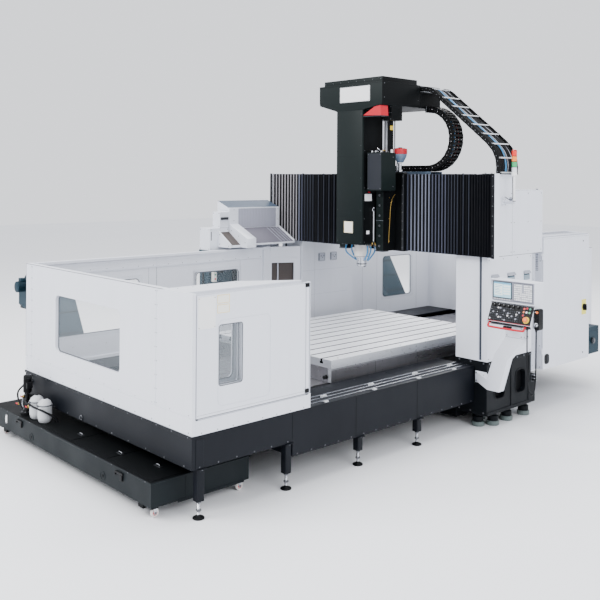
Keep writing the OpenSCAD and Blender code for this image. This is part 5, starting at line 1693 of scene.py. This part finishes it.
# lower end: flange ring, bolts and a milled step
s.lathe("dark_steel", (145, 40, 2075), "-z", [(118, 0), (120, 2), (120, 10), (112, 12)], 44)
for i in range(12):
    a = 2 * math.pi * i / 12
    s.bolt((145 + 108 * math.cos(a), 40 + 108 * math.sin(a), 2063), "-z", 8)
s.lathe("wheel_white", (145, 40, 1990), "-z", [(95, 0), (96, 2), (96, 12), (94, 14)], 44)
s.lathe("bolt_steel", (145, 40, 1905), "z", [(66.4, 0), (90, 0), (93, 3), (95, 8), (94.4, 12)], 44)
s.build("Ram", "head", ("ram",))

s = Shape()
# the hood's +X faces and the block right of the ram take the near-black paint as painted shade; the tops take it as
# well
s.cad("hood", "head_paint", 6, lambda c, nrm: "chrome_steel" if math.hypot(abs(c.x - 145) - 315, c.y - 80) < 15.5 and c.z < 3760
      else "saddle_paint_and_head_shade" if (c.x > 500 and c.z < 3790) or nrm.x > 0.9 or nrm.z > 0.9 else None, seg=2)
# blank plate on the front, in a thin edge
s.box("white_plate", -22, 486, -203, -199.6, 3846, 4036, 1)
s.ring("grey_paint", "y", -203.6, -202.6, -16, 480, 3852, 4030, 4, 3)
for x in (-8, 472):
    for z in (3860, 4022):
        s.screw((x, -203.4, z), "-y", 4)
# red cover in the corner beside the ram
s.prism("red_paint", "y", -197, -189, [(372, 3672), (664, 3660), (652, 3783), (560, 3772)], 1.5)
s.prism("red_paint", "y", -190, -60, [(640, 3664), (664, 3661), (654, 3783), (642, 3782)], 1.5)
s.box("dark_steel", 372, 668, -196, -60, 3652, 3662, 2)
# lid joints, screws, lifting rings, cooling grille
s.box("saddle_paint_and_head_shade", -395.6, 685.6, -200.8, 520.6, 4060, 4063, 0.2)
for x in steps(-330, 620, 8):
    s.screw((x, -150, 4108), "-y", 6)
for x in steps(-320, 610, 5):
    for y in (-110, 465):
        s.screw((x, y, 4140), "z", 7)
for x in (-160, 450):
    ring = [(x + 26 * math.cos(a), 178, 4120 + 16 * math.sin(a)) for a in [math.radians(t) for t in range(0, 181, 20)]]
    s.tube("dark_steel", [(p[0], p[1], p[2]) for p in ring], 5, 10)
for i in range(16):
    s.prism("louvre", "y", 150, 420, [(-396, 4030 - i * 9), (-401, 4028 - i * 9), (-401, 4026 - i * 9), (-396, 4024 - i * 9)], 0.2)
    s.prism("saddle_paint_and_head_shade", "x", -100, 390, [(520, 4030 - i * 14), (527, 4027 - i * 14), (527, 4024 - i * 14), (520, 4021 - i * 14)], 0.3)
for y in (-160, 480):
    for z in (3880, 4050):
        s.screw((685, y, z), "x", 6)
# duct beside the balance cylinder, bare plate and a bright guide strip
s.box("saddle_paint_and_head_shade", 524, 530, 118, 190, 3260, 3612, 2)
s.box("yellow_plate", 530, 532, 126, 182, 3502, 3556, 0.6)
s.box("chrome_steel", 526, 535, 206, 222, 2976, 3742, 1)
s.box("seam", 519, 673, -11, -9.4, 3700, 3703, 0.2)
for x in (534, 658):
    for z in (3624, 3776):
        s.screw((x, -10, z), "-y", 6)
# rod ends
for k in (-1, 1):
    x = 145 + k * 315
    s.lathe("dark_steel", (x, 80, 3700), "z", [(24, 0), (26, 2), (26, 40), (22, 44)], 6)
s.build("Hood", "head", ("hood",))


def segmented(s, pts, r):
    """A hose of ball-and-socket links."""
    path = evenly(pts, r * 1.6)
    for i in range(len(path) - 1):
        d = path[i + 1] - path[i]
        h = d.length
        s.lathe("blue_plastic", path[i], d, [(r * 0.6, -h * 0.15), (r * 0.95, 0), (r, h * 0.35), (r * 0.9, h * 0.7), (r * 0.62, h * 0.82)], 14)
    d = (path[-1] - path[-2]).normalized()
    s.lathe("blue_plastic", path[-1], d, [(r * 0.8, 0), (r * 0.85, 4), (r * 0.4, 26), (r * 0.36, 34)], 14)


s = Shape()
for x, y, a in ((310, 20, 0), (295, 110, 25), (-15, 30, 180), (330, -60, -25), (-30, -60, 200)):
    t = math.radians(a)
    u = Vector((math.cos(t), math.sin(t), 0))
    p = Vector((x, y, 2075))
    s.lathe("bolt_steel", p, "-z", [(16, 0), (18, 2), (18, 18), (14, 22)], 6)
    tip = Vector((145, 40, 0)) + u * (70 if abs(a) < 90 else 74)
    pts = spline([p + Vector((0, 0, -20)), p + Vector((0, 0, -70)) + u * 8, p + Vector((0, 0, -120)) - u * 6,
                  Vector((tip.x, tip.y, 1880)) + u * 34], 5)
    segmented(s, pts, 10)
# grey ring and small valve block beside them
s.box("bolt_steel", 340, 400, 40, 120, 2040, 2074, 4)
s.lathe("chrome_steel", (385, 60, 2040), "-z", [(16, 0), (18, 2), (18, 16), (26, 20), (26, 30), (18, 34)], 24)
s.lathe("black_plastic", (402, 100, 2056), (0.8, 0.3, -0.5), [(10, 0), (12, 2), (12, 20), (8, 24)], 16)
s.build("CoolantNozzles", "head", ("coolant_nozzles",))

s = Shape()
s.cad("spindle_nose", "chrome_steel", 1.5, lambda c, nrm: "dark_steel" if math.hypot(c.x - 145, c.y - 40) < 36 else None)
s.lathe("dark_steel", (145, 40, 1812), "z", [(64, 0), (66, 2), (66, 10), (64, 12)], 44)
for k in (-1, 1):
    s.box("dark_steel", 145 + k * 50 - 12, 145 + k * 50 + 12, 28, 52, 1780, 1794, 2)
    s.bolt((145 + k * 50, 40, 1780), "-z", 4)
for i in range(6):
    a = 2 * math.pi * (i + 0.5) / 6
    s.bolt((145 + 53 * math.cos(a), 40 + 53 * math.sin(a), 1790), "-z", 4)
    s.cyl("dark_steel", (145 + 63.5 * math.cos(a), 40 + 63.5 * math.sin(a), 1862), (math.cos(a), math.sin(a), 0), 6, 1.6, 12, 0.3)
s.build("SpindleNose", "spindle", ("spindle_nose",))

# ---------------------------------------------------------------- anything of the record not replaced

for name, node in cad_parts.items():
    if not node.hide_render:
        print("plain node", name)
        for sl in node.material_slots:
            sl.material = mats["white_paint"]

# ---------------------------------------------------------------- floor and light

me = bpy.data.meshes.new("floor")
me.from_pydata([(-40, -40, -0.002), (40, -40, -0.002), (40, 40, -0.002), (-40, 40, -0.002)], [], [(0, 1, 2, 3)])
floor = bpy.data.objects.new("floor", me)
scene.collection.objects.link(floor)
fm = material("floor_pale", (246, 247, 249), (243, 244, 247), 0.3, (0.7, 0.8), bump=0.02)
me.materials.append(fm)

world = bpy.data.worlds.new("studio")
scene.world = world
world.use_nodes = True
bg = world.node_tree.nodes["Background"]
bg.inputs["Color"].default_value = (0.93, 0.95, 1.0, 1)
bg.inputs["Strength"].default_value = 1.5


def area(name, loc, aim, size, power, colour=(1, 1, 1)):
    d = bpy.data.lights.new(name, "AREA")
    d.shape = "RECTANGLE"
    d.size, d.size_y = size
    d.energy = power
    d.color = colour
    o = bpy.data.objects.new(name, d)
    scene.collection.objects.link(o)
    o.location = loc
    o.rotation_euler = (Vector(aim) - Vector(loc)).to_track_quat("-Z", "Y").to_euler()


area("key", (-3, -12, 10), (0, -0.5, 1.5), (8, 6), 1900)
area("fill", (12, -3, 7), (0.5, 0, 1.5), (7, 6), 800, (0.97, 0.98, 1.0))
area("top", (0, 1, 12), (0, 0, 0), (9, 9), 1100)
area("back", (-6, 10, 8), (0, 0, 2), (6, 5), 500)
